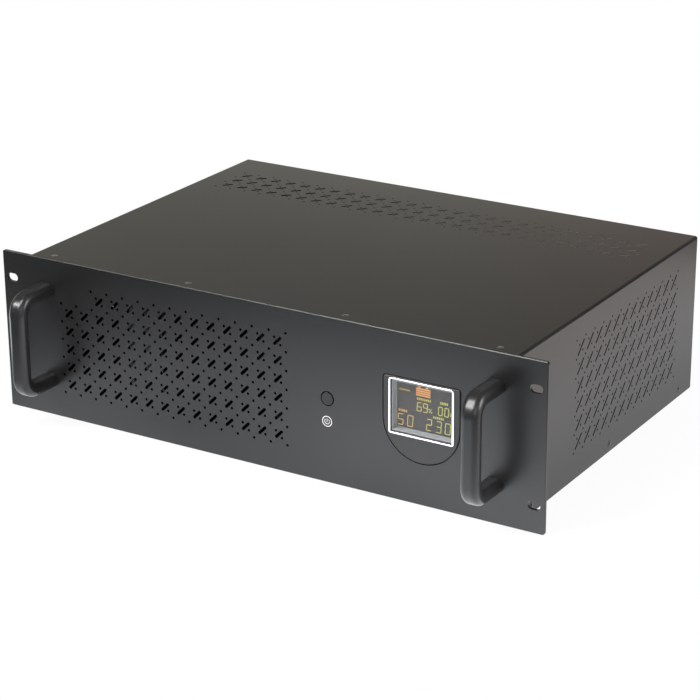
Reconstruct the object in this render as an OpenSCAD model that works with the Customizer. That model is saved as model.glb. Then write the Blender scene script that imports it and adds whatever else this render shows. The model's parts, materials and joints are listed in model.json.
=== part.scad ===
// Rack-mount uninterruptible power supply, three units high, with a front display and two handles.
// Millimetres. X runs to the right of someone who faces the front, Y to the back and Z up.
// Every piece is drawn with Y = 0 on the front face of the panel, and placed() centres the whole.

/* [Front panel] */
// Width of the rack panel over both ears
panel_w = 482.6; // [478:0.1:490]
// Height of the rack panel
panel_h = 132; // [131.5:0.1:133]
// Thickness of the panel sheet
panel_t = 2.5; // [1.5:0.1:4]
// Corner radius of the panel
panel_r = 2; // [0.5:0.1:4]
// Chamfer of the panel's front edges
panel_edge = 0.4; // [0.3:0.1:0.8]
// Distance from the end of the panel to the middle of a rack slot
rack_edge = 8.75; // [7.5:0.05:10]
// Height between the middles of the upper and lower rack slots
rack_rise = 88.9; // [80:0.1:100]
// Length of a rack slot from end to end
rack_slot_l = 10.3; // [8:0.1:12]
// Width of a rack slot
rack_slot_w = 6.8; // [5:0.1:8]
// Diameter of the pilot hole in the left ear
pilot_d = 2.4; // [1.5:0.1:4]
// Distance of the pilot hole from the end of the panel
pilot_edge = 16.9; // [15:0.1:19]
// Height of the pilot hole
pilot_z = 97.6; // [90:0.1:102]

/* [Body] */
// Width of the body over the cover
body_w = 434; // [428:1:440]
// How much lower the top of the body is than the top of the panel
body_short = 1; // [0.5:0.1:6]
// Depth of the body behind the panel
body_d = 308; // [300:1:400]
// Thickness of the cover, base, frame and rear sheet
sheet_t = 1.2; // [0.8:0.1:1.6]
// Outer radius of the cover's bends
bend_r = 2; // [1.7:0.1:4]
// Gap between the panel and the front edge of the cover
seam = 0.4; // [0.2:0.1:1]
// Height of the cover's lower edge above the underside
cover_lift = 0.8; // [0.4:0.1:2]
// Height of the upturned sides of the base
base_lip = 14; // [12:0.5:20]
// Depth of the folded flanges of the front frame and rear panel
flange_d = 16; // [14:0.5:20]
// Width of the wall of the front frame that is left around its windows
frame_rim = 3; // [2:0.5:5]
// Side play between pieces that fit into each other
fit = 0.2; // [0.1:0.05:0.3]

/* [Vents] */
// Pitch of the vent pattern
vent_pitch = 15; // [14:0.1:16]
// Length of a vent slot in the front and the top from end to end
front_slot_l = 9.4; // [7:0.1:10]
// Width of a vent slot in the front and the top
front_slot_w = 2.5; // [1.5:0.1:2.8]
// Length of a vent slot in the sides from end to end
side_slot_l = 14.6; // [9:0.1:15]
// Width of a vent slot in the sides
side_slot_w = 1.6; // [1.4:0.1:2.2]
// Diameter of a round vent hole in the front
front_dot_d = 2.2; // [1.2:0.1:2.4]
// Diameter of a round vent hole in the cover
cover_dot_d = 1.7; // [1.2:0.1:2.2]
// Offset of the two holes beside a slot, along each direction of the grid
vent_dot_gap = 2.7; // [2.6:0.1:3.1]
// Distance from the side of the body to the first column of front vents
front_vent_x = 31.9; // [30:0.1:38]
// Height of the lowest row of front vent holes
front_vent_z = 22.2; // [20:0.1:24]
// Columns at the left end of the front vents that lack their top cell
front_vent_short = 2; // [0:1:4]
// Least distance from the front vents to the button's axis
front_vent_gap = 30; // [26:0.5:34]
// Distance from the panel's face to the first column of side vents
side_vent_y = 94.5; // [90:0.5:98]
// Height of the lowest row of side vent holes
side_vent_z = 22.5; // [20:0.5:24]
// Rows of vents on the top
top_vent_rows = 3; // [1:1:5]
// Distance from the rear edge to the last row of top vent holes
top_vent_y = 36; // [30:0.5:40]
// Least bare margin beside a vent field
vent_margin = 15; // [12:0.5:18]

/* [Handles] */
// Distance from the side of the body to the middle of a handle
handle_inset = 17; // [16:0.5:19]
// Height of the middle of a handle
handle_z = 68; // [66:0.5:71]
// Height of a handle over its arms
handle_h = 87; // [76:0.5:92]
// How far a handle stands out from the panel
handle_reach = 40; // [34:0.5:50]
// Width of a handle's section across the grip
handle_w = 15; // [14:0.5:18]
// Thickness of a handle's section
handle_t = 11; // [10:0.5:14]
// Radius of the rounded edges of a handle's section
handle_edge = 5.1; // [3:0.1:5.4]
// Radius of a handle's bends, at the middle of its section
handle_bend = 12; // [9:0.5:15]
// Nominal diameter of the handle screws
handle_screw_d = 4.2; // [3:0.1:5]
// Depth of the screw holes in a handle
handle_hole = 14; // [10:0.5:18]

/* [Display] */
// Distance from the side of the body to the middle of the display
display_inset = 76.4; // [73:0.1:79]
// Height of the centre of the bezel's half-round foot
display_z = 65; // [63:0.5:67]
// Radius of the bezel's half-round foot
bezel_r = 31.7; // [31:0.1:33]
// Height of the bezel's straight top above the centre of its foot
bezel_top = 31.9; // [31.5:0.1:33]
// Radius of the bezel's two upper corners
bezel_corner = 2; // [1:0.1:3]
// Gap between the bezel and the panel
bezel_gap = 0.8; // [0.3:0.1:1]
// How far the bezel stands out of the panel
bezel_proud = 0.6; // [0.5:0.1:1.5]
// Chamfer round the bezel's face
bezel_chamfer = 0.5; // [0.2:0.1:0.8]
// Width of the bezel's flange behind the panel
bezel_lap = 3; // [2:0.1:3.5]
// Thickness of the bezel's flange
bezel_back = 2; // [1.5:0.1:3]
// Width of the silver frame
trim_w = 54.5; // [52:0.1:56]
// Height of the silver frame
trim_h = 43.8; // [42:0.1:44]
// Distance from the bezel's top edge to the silver frame
trim_drop = 0.7; // [0.6:0.1:1.5]
// Width of the silver frame's rim
trim_rim = 1.6; // [1.2:0.1:2]
// Corner radius of the silver frame
trim_r = 2; // [1.8:0.1:2.5]
// How far the silver frame stands out of the bezel
trim_proud = 0.5; // [0.3:0.1:1]
// Thickness of the lens
lens_t = 1.2; // [0.8:0.1:1.6]
// Width of the ledge that carries the lens
lens_ledge = 0.6; // [0.5:0.1:1]
// Wall of the pale tunnel between the lens and the LCD
tunnel_wall = 0.7; // [0.5:0.1:1]
// Depth from the lens to the LCD
tunnel_d = 5; // [4.5:0.1:8]
// Thickness of the LCD
lcd_t = 2.8; // [2:0.1:4]
// Margin of the LCD around the tunnel
lcd_margin = 3; // [2:0.1:3.2]
// Thickness of the circuit boards
board_t = 1.6; // [1:0.1:2]
// Distance of the display screws from the middle of the display
display_screw_x = 31; // [30.9:0.1:31.5]
// Diameter of the display screws
display_screw_d = 2; // [1.6:0.1:2.4]

/* [Power button] */
// Distance from the side of the body to the button's axis
button_inset = 156.3; // [152:0.1:158]
// Height of the button's axis
button_z = 67.6; // [65:0.1:70]
// Diameter of the button's cap
button_d = 10.5; // [9:0.1:13]
// Gap round the cap
button_gap = 0.6; // [0.3:0.05:0.7]
// How far the cap stands out of the panel
button_proud = 0.4; // [0.2:0.1:1]
// Travel of the button
button_travel = 1.5; // [1:0.1:2]
// Width of the button's retaining rim
button_rim = 1.5; // [1:0.1:2]
// Diameter of the button's stem
stem_d = 5; // [4:0.1:6]
// Width of the square switch body
switch_w = 12; // [11.5:0.1:13]
// Depth of the switch body
switch_d = 8; // [7:0.1:10]

/* [Fan] */
// Width of the square fan frame
fan_w = 80; // [76:0.5:84]
// Depth of the fan frame
fan_d = 25; // [22:0.5:32]
// Spacing of the fan screws
fan_pitch = 71.5; // [69:0.1:74]
// Diameter of the fan's air duct
fan_bore = 76; // [72:0.5:77]
// Distance from the side of the body to the fan's axis
fan_inset = 67; // [64:0.5:72]
// Height of the fan's axis
fan_z = 66; // [62:0.5:69]
// Diameter of the rotor's hub
hub_d = 36; // [32:0.5:40]
// Number of blades
blades = 7; // [5:1:9]
// Gap between the blade tips and the duct
blade_gap = 1.5; // [1:0.1:3]
// Pitch angle of the blades
blade_angle = 38; // [30:1:45]
// Thickness of a blade
blade_t = 1.6; // [1.2:0.1:2.2]
// Diameter of the fan's shaft
shaft_d = 3; // [2:0.1:4]
// Radial play of the fan's shaft
shaft_play = 0.1; // [0.05:0.01:0.1]
// Wire diameter of the fan guard
guard_wire = 1.8; // [1.4:0.1:2.4]
// Number of rings of the fan guard
guard_rings = 4; // [3:1:5]

/* [Rear sockets] */
// Width of a plug's nose
plug_w = 24; // [23.5:0.1:24.5]
// Height of a plug's nose
plug_h = 16; // [15.5:0.1:16.5]
// Play round a plug in its recess
plug_play = 0.3; // [0.2:0.1:0.4]
// Depth of a plug recess
plug_d = 17; // [15:0.5:19]
// Wall of the sockets' bodies
socket_wall = 1.5; // [1.2:0.1:1.8]
// Width of the moat round an outlet's nose
moat = 2.4; // [2:0.1:2.8]
// Lap of a socket's flange over the rear panel
socket_lap = 2; // [1.5:0.1:2.2]
// Thickness of a socket's flange
socket_flange = 2.5; // [2:0.1:3]
// Pitch of the outlets
outlet_pitch = 44; // [42:0.5:46]
// Distance from the body's middle to the first outlet
outlet_x = 30; // [24:0.5:32]
// Height of the outlets
outlet_z = 66; // [50:0.5:80]
// Distance from the side of the body to the inlet and the breaker
inlet_inset = 55; // [50:0.5:60]
// Height of the inlet
inlet_z = 45; // [40:0.5:50]
// Height of the breaker
breaker_z = 95; // [90:0.5:100]
// Diameter of the breaker's threaded bush
bush_d = 9.4; // [9:0.1:11]
// How far the breaker's bush stands out of the rear panel
bush_reach = 6; // [5:0.1:8]
// Diameter of the breaker's button
reset_d = 6.4; // [5:0.1:6.8]
// How far the reset button stands out of its bush
reset_reach = 4; // [3:0.1:6]
// Distance from the body's middle to the data ports
port_x = 82; // [80:0.5:84]
// Height of the USB port
usb_z = 92; // [90:0.5:96]
// Height of the network jack
jack_z = 60; // [56:0.5:64]
// Depth of the data ports
port_d = 16; // [14:0.5:18]

/* [Batteries] */
// Width of a battery
battery_w = 65; // [60:0.5:68]
// Length of a battery
battery_l = 151; // [140:0.5:160]
// Height of a battery's case
battery_h = 94; // [85:0.5:98]
// Gap between the batteries
battery_gap = 3; // [2:0.5:5]
// Distance from the side of the body to the batteries
battery_inset = 22; // [20:0.5:26]
// Distance from the panel's face to the batteries
battery_y = 30; // [26:0.5:40]
// Width of the hold-down strap
strap_w = 25; // [20:0.5:30]
// Thickness of the strap and of the transformer's clamp
strap_t = 1.5; // [1.2:0.1:2]
// Length of the feet of the strap and of the clamp
foot_l = 14; // [12:0.5:15]
// Diameter of the battery leads
lead_d = 4; // [3:0.1:5]
// Bend radius of the battery leads, at the middle of the lead
lead_bend = 7; // [5.5:0.1:8]

/* [Transformer] */
// Width of the core
core_w = 100; // [90:0.5:102]
// Height of the core
core_h = 84; // [80:0.5:95]
// Thickness of the core's stack
core_stack = 55; // [50:0.5:70]
// Play between the coil and the core
coil_play = 0.5; // [0.3:0.1:0.8]
// Gap between the clamp's foot and the side of the base
clamp_gap = 3; // [2:0.5:5]
// Distance from the rear of the body to the middle of the core
core_y = 112; // [106:0.5:118]

/* [Main board] */
// Width of the main board
board_w = 210; // [202:0.5:212]
// Length of the main board
board_l = 130; // [127:0.5:132]
// Distance from the panel's face to the main board
board_y = 10; // [9:0.5:12]
// Height of the main board above the underside
board_z = 12; // [11:0.5:16]
// Distance of the standoffs from the board's edges
standoff_edge = 6; // [5:0.5:8]
// Width of a heat sink
sink_w = 34; // [30:0.5:38]
// Depth of a heat sink
sink_d = 16; // [14:0.5:20]
// Height of a heat sink
sink_h = 94; // [60:0.5:98]
// Number of fins on a heat sink
sink_fins = 7; // [5:1:9]
// Distance from the board's left edge to the front heat sink
sink_edge = 26; // [24:0.5:30]
// How far the rear heat sink stands to the right of the front one
sink_step = 80; // [76:0.5:84]
// How far the rear heat sink stands behind the front one
sink_pitch = 56; // [50:0.5:60]

/* [Screws] */
// Diameter of the countersunk cover screws
cover_screw_d = 3; // [2.5:0.1:3.5]
// Head diameter of the countersunk cover screws
cover_head_d = 5.8; // [5:0.1:6.2]
// Head height of the countersunk cover screws
cover_head_h = 1; // [0.6:0.1:1.1]
// Distance from the panel's face to the top cover screws
top_screw_y = 11; // [9:0.5:12]
// Distance from the side of the body to the outer top screws
top_screw_x = 19; // [16:0.5:24]
// Distance from the middle to the inner top screws
top_screw_mid = 70; // [50:0.5:90]
// Height of the side cover screws
side_screw_z = 7.4; // [5.5:0.1:8]
// How far the middle side screw is behind the middle of the depth
side_screw_back = 1.75; // [0:0.25:4]
// Pitch of the side screws
side_screw_pitch = 130; // [120:0.5:140]
// Diameter of the pan-head screws inside
pan_d = 3; // [2.5:0.1:3.5]

/* [Hidden] */
$fn = 48;
cut = 1;

// Planes that pieces share
rear_y = panel_t + body_d;
inner_y = rear_y - sheet_t;
frame_back = panel_t + sheet_t;
body_h = panel_h - body_short;
half_w = body_w / 2;
inner_half = half_w - sheet_t;
lip_half = inner_half - sheet_t;
bend_in = bend_r - sheet_t;
fold_half = inner_half - bend_in;
roof_z = body_h - sheet_t;
floor_z = sheet_t;
back_reach = bush_reach + reset_reach;
shift_y = (handle_reach - rear_y - back_reach) / 2;

// Places on the front
button_x = half_w - button_inset;
display_x = half_w - display_inset;
handle_x = half_w - handle_inset;
handle_arm = handle_h / 2 - handle_t / 2;
grip_flat = 0.2;
grip_edge = min(handle_edge, (handle_t - grip_flat) / 2);
front_x0 = front_vent_x - half_w;
front_cols = floor((button_x - front_vent_gap - front_x0) / vent_pitch);
front_rows = floor((panel_h - front_vent_z - vent_margin) / vent_pitch);
side_cols = floor((rear_y - side_vent_y - 2 * vent_margin) / vent_pitch);
side_rows = floor((body_h - side_vent_z - vent_margin) / vent_pitch);
top_cols = floor((body_w - 2 * (vent_margin + 5)) / vent_pitch);
hole_r = button_d / 2 + button_gap;

// Display stack, from the face inwards
bezel_face = -bezel_proud;
flange_back = panel_t + bezel_back;
trim_z = display_z + bezel_top - trim_drop - trim_h / 2;
window_w = trim_w - 2 * trim_rim;
window_h = trim_h - 2 * trim_rim;
lens_face = bezel_face;
lens_back = lens_face + lens_t;
opening_w = window_w - 2 * lens_ledge;
opening_h = window_h - 2 * lens_ledge;
lcd_face = lens_back + tunnel_d;
lcd_back = lcd_face + lcd_t;
lcd_w = opening_w + 2 * lcd_margin;
lcd_h = opening_h + 2 * lcd_margin;
boss_r = display_screw_d / 2 + 1.2;
boss_edge = 5;
display_screw_z = [for (s = [-1, 1]) trim_z - 1 + s * (lcd_h / 2 - boss_r - boss_edge)];
display_board_w = 2 * (display_screw_x + boss_r);
tunnel_lip = 1;

// Button stack
slide_gap = 0.3;
rim_front = panel_t + slide_gap;
rim_t = 1.5;
holder_bore = max(switch_w * sqrt(2), button_d + 2 * button_rim) + 2 * slide_gap;
holder_wall = 3;
holder_w = holder_bore + 2 * holder_wall;
holder_back = frame_back + rim_t + button_travel + switch_d;
switch_front = holder_back - switch_d;
stem_entry = 2;
stem_bore = stem_d + 2 * slide_gap;

// Rear panel
fan_x = fan_inset - half_w;
fan_front = inner_y - fan_d;
inlet_x = half_w - inlet_inset;
socket_w = plug_w + 2 * plug_play + 2 * socket_wall;
socket_h = plug_h + 2 * plug_play + 2 * socket_wall;
outlet_w = plug_w + 2 * moat + 2 * socket_wall;
outlet_h = plug_h + 2 * moat + 2 * socket_wall;
socket_tail = 5;
socket_back = plug_d - socket_flange + socket_tail;
usb_w = 12;
usb_h = 11;
jack_w = 15.5;
jack_h = 14;
data_board_y = inner_y - port_d;
data_w = 44;
data_drop = 20;
data_rise = 14;
data_low = jack_z - data_drop;
data_high = usb_z + data_rise;
data_post_d = 6;
data_posts = [[-data_w / 2 + 5, data_low + 5], [data_w / 2 - 5, data_high - 5]];

// Inside
batteries_x = half_w - battery_inset - 2 * battery_w - battery_gap;
battery_top = floor_z + battery_h;
terminal_h = 7;
terminal_w = 6.3;
terminal_t = 0.8;
terminal_in = 13;
terminal_y = battery_y + terminal_in;
terminal_pad = 2 * terminal_w;
strap_y = battery_y + battery_l / 2;
strap_x0 = batteries_x - fit;
strap_x1 = half_w - battery_inset + fit;
core_x = clamp_gap + foot_l + strap_t + fit + core_w / 2 - lip_half;
core_mid_y = rear_y - core_y;
core_leg = core_w / 3;
core_yoke = core_w / 6;
core_window = (core_w - 2 * core_yoke - core_leg) / 2;
clamp_w = 0.8 * core_stack;
board_x = batteries_x - foot_l - board_w / 2 + 2;
board_top = board_z + board_t;
sink_x = board_x - board_w / 2 + sink_edge;
sink_in = 6;
sink_y = board_y + sink_in;
sinks = [[sink_x, sink_y], [sink_x + sink_step, sink_y + sink_pitch]];
sink_base = 5;
pan_head_d = 2 * pan_d;
pan_head_h = 2;
foot_mid = strap_t + foot_l / 2;
clamp_foot_x = core_w / 2 + fit + foot_mid;
foot_screws_clamp = [for (sx = [-1, 1], sy = [-1, 1])
  [core_x + sx * clamp_foot_x, core_mid_y + sy * core_stack / 4]];
foot_screws_strap = [for (x = [strap_x0 - foot_mid, strap_x1 + foot_mid], sy = [-1, 1])
  [x, strap_y + sy * strap_w / 4]];
post_front = panel_t + flange_d + pan_head_d;
post_rear = board_y + board_l - standoff_edge;
standoffs = [for (sx = [-1, 1], y = [post_front, (post_front + post_rear) / 2, post_rear])
  [board_x + sx * (board_w / 2 - standoff_edge), y]];
lead_x = board_x + board_w / 2 - 2 * standoff_edge - pan_head_d;
lead_rise = battery_top + terminal_h;
lead_step = 2 * lead_d;
top_screw_end = half_w - top_screw_x;
top_screws = [for (x = [-top_screw_end, -top_screw_mid, top_screw_mid, top_screw_end]) [x, top_screw_y]];
side_screws = [for (i = [-1:1]) rear_y / 2 + side_screw_back + i * side_screw_pitch];
handle_screws_at = [for (sx = [-1, 1], sz = [-1, 1]) [sx * handle_x, handle_z + sz * handle_arm]];

// Centres the whole part over the origin
module placed() {
  translate([0, shift_y, 0]) children();
}

// A flat outline in X and Z, t thick from the plane Y = y to the back
module wall_xz(y, t) {
  translate([0, y + t, 0]) rotate([90, 0, 0]) linear_extrude(t) children();
}

// A flat outline in Y and Z, t thick from the plane X = x to the right
module wall_yz(x, t) {
  translate([x, 0, 0]) rotate([90, 0, 90]) linear_extrude(t) children();
}

// A block between two corners
module block(low, high) {
  translate(low) cube(high - low);
}

// A cylinder along Y that starts at the plane Y = y
module rod_y(x, y, z, d, l) {
  translate([x, y, z]) rotate([-90, 0, 0]) cylinder(d = d, h = l);
}

module rect(w, h) {
  square([w, h], center = true);
}

module rounded_rect(w, h, r) {
  rect(w - 2 * r, h);
  rect(w, h - 2 * r);
  for (sx = [-1, 1], sy = [-1, 1]) translate([sx * (w / 2 - r), sy * (h / 2 - r)]) circle(r);
}

module obround(l, w) {
  rect(l - w, w);
  for (s = [-1, 1]) translate([s * (l - w) / 2, 0]) circle(d = w);
}

// One vent cell: a diagonal slot with a round hole on each side
module vent_cell(slot_l, slot_w, dot_d) {
  rotate(45) obround(slot_l, slot_w);
  for (s = [-1, 1]) translate([-s * vent_dot_gap, s * vent_dot_gap]) circle(d = dot_d, $fn = 24);
}

// A field of vent cells with a round hole at each corner of the grid; its first corner is at the origin
module vent_field(cols, rows, slot_l, slot_w, dot_d, short_cols = 0) {
  for (c = [0:cols - 1], r = [0:rows - 1])
    if (c >= short_cols || r < rows - 1)
      translate([c + 0.5, r + 0.5] * vent_pitch) vent_cell(slot_l, slot_w, dot_d);
  for (c = [0:cols], r = [0:rows])
    if (c >= short_cols || r < rows) translate([c, r] * vent_pitch) circle(d = dot_d, $fn = 24);
}

// The bezel's outline: straight top, half-round foot; its origin is the centre of the foot
module bezel_outline(grow = 0) {
  r = bezel_r + grow;
  top = bezel_top + grow;
  c = bezel_corner + grow;
  circle(r, $fn = 96);
  translate([-r, 0]) square([2 * r, top - c]);
  translate([-r + c, 0]) square([2 * (r - c), top]);
  for (s = [-1, 1]) translate([s * (r - c), top - c]) circle(c);
}

// A pan-head screw along -Z with the underside of its head at the origin
module pan_screw(d, l) {
  head = 2 * d;
  translate([0, 0, -l]) cylinder(d = d, h = l);
  intersection() {
    cylinder(d = head, h = pan_head_h);
    translate([0, 0, pan_head_h - head]) sphere(head);
  }
}

// A countersunk screw along -Z with the face of its head at the origin
module flush_screw(l) {
  translate([0, 0, -cover_head_h]) cylinder(d1 = cover_screw_d, d2 = cover_head_d, h = cover_head_h);
  translate([0, 0, -l]) cylinder(d = cover_screw_d, h = l - cover_head_h);
}

// The countersunk hole for it
module flush_hole() {
  play = fit / 2;
  translate([0, 0, -cover_head_h])
    cylinder(d1 = cover_screw_d + play, d2 = cover_head_d + play, h = cover_head_h);
  translate([0, 0, -sheet_t - cut]) cylinder(d = cover_screw_d + play, h = sheet_t + cut);
  cylinder(d = cover_head_d + play, h = cut);
}

module at_top_screws() {
  for (p = top_screws) translate([p[0], p[1], body_h]) children();
}

module at_side_screws() {
  for (s = [-1, 1], y = side_screws)
    translate([s * half_w, y, side_screw_z]) rotate([0, s * 90, 0]) children();
}

module front_panel() {
  color("#35363a") placed() difference() {
    wall_xz(0, panel_t) difference() {
      translate([0, panel_h / 2]) rounded_rect(panel_w, panel_h, panel_r);
      for (sx = [-1, 1], sz = [-1, 1])
        translate([sx * (panel_w / 2 - rack_edge), panel_h / 2 + sz * rack_rise / 2])
          obround(rack_slot_l, rack_slot_w);
      translate([front_x0, front_vent_z])
        vent_field(front_cols, front_rows, front_slot_l, front_slot_w, front_dot_d, front_vent_short);
      translate([display_x, display_z]) bezel_outline(bezel_gap);
      translate([button_x, button_z]) circle(hole_r);
      translate([pilot_edge - panel_w / 2, pilot_z]) circle(d = pilot_d);
      for (p = handle_screws_at) translate(p) circle(d = handle_screw_d + 2 * fit);
    }
    for (z = [0, panel_h]) translate([0, 0, z]) edge_prism(panel_w + 2 * cut);
    for (s = [-1, 1])
      translate([s * panel_w / 2, 0, panel_h / 2]) rotate([0, 90, 0]) edge_prism(panel_h + 2 * cut);
  }
}

// What a chamfer along X takes off the front edge of the panel
module edge_prism(l) {
  side = panel_edge * sqrt(2);
  rotate([45, 0, 0]) cube([l, side, side], center = true);
}

// The wall that fills the cover's inside from the floor up to the roof
module inner_wall() {
  difference() {
    cover_outline(2 * inner_half, roof_z, bend_in);
    translate([0, (floor_z - cut) / 2]) rect(body_w, floor_z + cut);
  }
}

// Folded sheet behind the panel: a wall with windows, and a flange at its head and foot
module front_frame() {
  vents_w = front_cols * vent_pitch + 2 * frame_rim;
  vents_h = front_rows * vent_pitch + 2 * frame_rim;
  bezel_window = 2 * (bezel_r + bezel_lap + frame_rim);
  color("silver") placed() difference() {
    union() {
      wall_xz(panel_t, sheet_t) difference() {
        inner_wall();
        translate([front_x0 - frame_rim, front_vent_z - frame_rim]) square([vents_w, vents_h]);
        translate([display_x, display_z]) rect(bezel_window, bezel_window);
        translate([button_x, button_z]) circle(d = holder_bore);
        for (p = handle_screws_at) translate(p) circle(d = handle_screw_d + 2 * fit);
      }
      block([-fold_half, panel_t, roof_z - sheet_t], [fold_half, panel_t + flange_d, roof_z]);
      block([fit - lip_half, panel_t, floor_z], [lip_half - fit, panel_t + flange_d, floor_z + sheet_t]);
    }
    at_top_screws() translate([0, 0, -body_h / 4]) cylinder(d = cover_screw_d + fit, h = body_h / 4);
  }
}

// Folded sheet: the floor and two low upturned sides
module chassis_base() {
  color("silver") placed() difference() {
    union() {
      block([-inner_half, panel_t, 0], [inner_half, rear_y, floor_z]);
      for (s = [-1, 1])
        translate([s * (inner_half + lip_half) / 2, (frame_back + inner_y) / 2, base_lip / 2])
          cube([sheet_t, inner_y - frame_back, base_lip], center = true);
    }
    at_side_screws() translate([0, 0, -4 * sheet_t]) cylinder(d = cover_screw_d + fit, h = 4 * sheet_t);
    for (p = concat(foot_screws_clamp, foot_screws_strap))
      translate([p[0], p[1], -cut]) cylinder(d = pan_d + fit, h = floor_z + 2 * cut);
  }
}

// Folded sheet with the cut-outs for everything at the back
module rear_panel() {
  color("#3d3d3f") placed() {
    wall_xz(inner_y, sheet_t) difference() {
      inner_wall();
      translate([fan_x, fan_z]) circle(d = fan_bore);
      for (sx = [-1, 1], sz = [-1, 1])
        translate([fan_x + sx * fan_pitch / 2, fan_z + sz * fan_pitch / 2]) circle(d = pan_d + 2 * fit);
      translate([inlet_x, inlet_z]) rect(socket_w + 2 * fit, socket_h + 2 * fit);
      for (i = [0:3]) translate([outlet_at(i), outlet_z]) rect(outlet_w + 2 * fit, outlet_h + 2 * fit);
      translate([inlet_x, breaker_z]) circle(d = bush_d + 2 * fit);
      translate([-port_x, usb_z]) rect(usb_w + 2 * fit, usb_h + 2 * fit);
      translate([-port_x, jack_z]) rect(2 * jack_w + 2 * fit, jack_h + 2 * fit);
      for (p = data_posts) translate([p[0] - port_x, p[1]]) circle(d = pan_d + 2 * fit);
    }
    block([-fold_half, inner_y - flange_d, roof_z - sheet_t], [fold_half, inner_y, roof_z]);
    block([fit - lip_half, inner_y - flange_d, floor_z], [lip_half - fit, inner_y, floor_z + sheet_t]);
  }
}

function outlet_at(i) = i * outlet_pitch - outlet_x;

// The cover's section: a roof and two sides, with a round bend between them
module cover_outline(w, h, r) {
  translate([-w / 2, 0]) square([w, h - r]);
  translate([-w / 2 + r, 0]) square([w - 2 * r, h]);
  for (s = [-1, 1]) translate([s * (w / 2 - r), h - r]) circle(r);
}

module top_cover() {
  top_w = top_cols * vent_pitch;
  top_y0 = rear_y - top_vent_y - top_vent_rows * vent_pitch;
  color("#4a4a48") placed() difference() {
    wall_xz(panel_t + seam, body_d - seam) difference() {
      cover_outline(body_w, body_h, bend_r);
      translate([0, -cut]) cover_outline(2 * inner_half, roof_z + cut, bend_in);
      translate([0, cover_lift / 2]) rect(body_w + 2 * cut, cover_lift);
    }
    translate([-top_w / 2, top_y0, roof_z - cut]) linear_extrude(sheet_t + 2 * cut)
      vent_field(top_cols, top_vent_rows, front_slot_l, front_slot_w, cover_dot_d);
    wall_yz(inner_half - cut, sheet_t + 2 * cut)
      translate([side_vent_y, side_vent_z])
        vent_field(side_cols, side_rows, side_slot_l, side_slot_w, cover_dot_d);
    wall_yz(-half_w - cut, sheet_t + 2 * cut)
      translate([side_vent_y + side_cols * vent_pitch, side_vent_z]) mirror([1, 0])
        vent_field(side_cols, side_rows, side_slot_l, side_slot_w, cover_dot_d);
    at_top_screws() flush_hole();
    at_side_screws() flush_hole();
  }
}

module cover_top_screws() {
  color("#55565a") placed() at_top_screws() flush_screw(4 * sheet_t);
}

module cover_side_screws() {
  color("#55565a") placed() at_side_screws() flush_screw(4 * sheet_t);
}

// A handle's section: thickness along X, width of the grip along Y
module grip_section() {
  rounded_rect(handle_t, handle_w, grip_edge);
}

// A D handle; X runs out from the panel, Y up, and Z across the grip
module handle_body() {
  straight = handle_arm - handle_bend;
  arm = handle_reach - handle_t / 2 - handle_bend;
  difference() {
    union() {
      translate([arm + handle_bend, -straight, 0]) rotate([-90, 0, 0]) linear_extrude(2 * straight)
        grip_section();
      for (s = [-1, 1]) {
        translate([0, s * handle_arm, 0]) rotate([90, 0, 90]) linear_extrude(arm) grip_section();
        translate([arm, s * straight, 0]) rotate(s < 0 ? -90 : 0)
          rotate_extrude(angle = 90) translate([handle_bend, 0]) grip_section();
      }
    }
    for (s = [-1, 1])
      translate([-cut, s * handle_arm, 0]) rotate([0, 90, 0])
        cylinder(d = handle_screw_d, h = handle_hole + cut);
  }
}

module handle_at(x) {
  color("#2f3033") placed() translate([x, 0, handle_z]) rotate([90, 0, -90]) handle_body();
}

module left_handle() {
  handle_at(-handle_x);
}

module right_handle() {
  handle_at(handle_x);
}

module handle_screws() {
  color("silver") placed() for (p = handle_screws_at)
    translate([p[0], frame_back, p[1]]) rotate([-90, 0, 0])
      pan_screw(handle_screw_d - fit, frame_back + handle_hole - 2);
}

// Moulded bezel: a chamfered face through the panel, a flange behind it, and bosses for the board
module display_bezel() {
  color("#2a2b2d") placed() translate([display_x, 0, 0]) difference() {
    union() {
      wall_xz(bezel_face + bezel_chamfer, flange_back - bezel_face - bezel_chamfer)
        translate([0, display_z]) bezel_outline();
      translate([0, bezel_face + bezel_chamfer, display_z]) bezel_chamfer_edge();
      wall_xz(panel_t, bezel_back) translate([0, display_z]) bezel_outline(bezel_lap);
      for (sx = [-1, 1], z = display_screw_z)
        rod_y(sx * display_screw_x, flange_back - cut, z, 2 * boss_r, lcd_back - flange_back + cut);
    }
    wall_xz(bezel_face - cut, lens_t + cut) translate([0, trim_z]) rounded_rect(trim_w, trim_h, trim_r);
    wall_xz(bezel_face - cut, flange_back - bezel_face + 2 * cut)
      translate([0, trim_z]) rect(opening_w, opening_h);
    for (sx = [-1, 1], z = display_screw_z)
      rod_y(sx * display_screw_x, flange_back, z, display_screw_d, lcd_back - flange_back + cut);
  }
}

// The chamfered front edge of the bezel; its back is at Y = 0 and the foot's centre at Z = 0
module bezel_chamfer_edge() {
  r = bezel_r;
  c = bezel_chamfer;
  intersection() {
    rotate([90, 0, 0]) cylinder(r1 = r, r2 = r - c, h = c, $fn = 96);
    translate([-r, -c, -r]) cube([2 * r, c, r]);
  }
  intersection() {
    linear_extrude(bezel_top) polygon([[-r, 0], [r, 0], [r - c, -c], [c - r, -c]]);
    rotate([90, 0, 90]) linear_extrude(2 * r, center = true)
      polygon([[0, 0], [0, bezel_top], [-c, bezel_top - c], [-c, 0]]);
    wall_xz(-c, c) bezel_outline();
  }
}

// Silver frame round the lens, let into the bezel
module display_trim() {
  color("gainsboro") placed() wall_xz(bezel_face - trim_proud, trim_proud + lens_t)
    translate([display_x, trim_z]) difference() {
      rounded_rect(trim_w - fit, trim_h - fit, trim_r);
      rect(window_w, window_h);
    }
}

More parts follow.
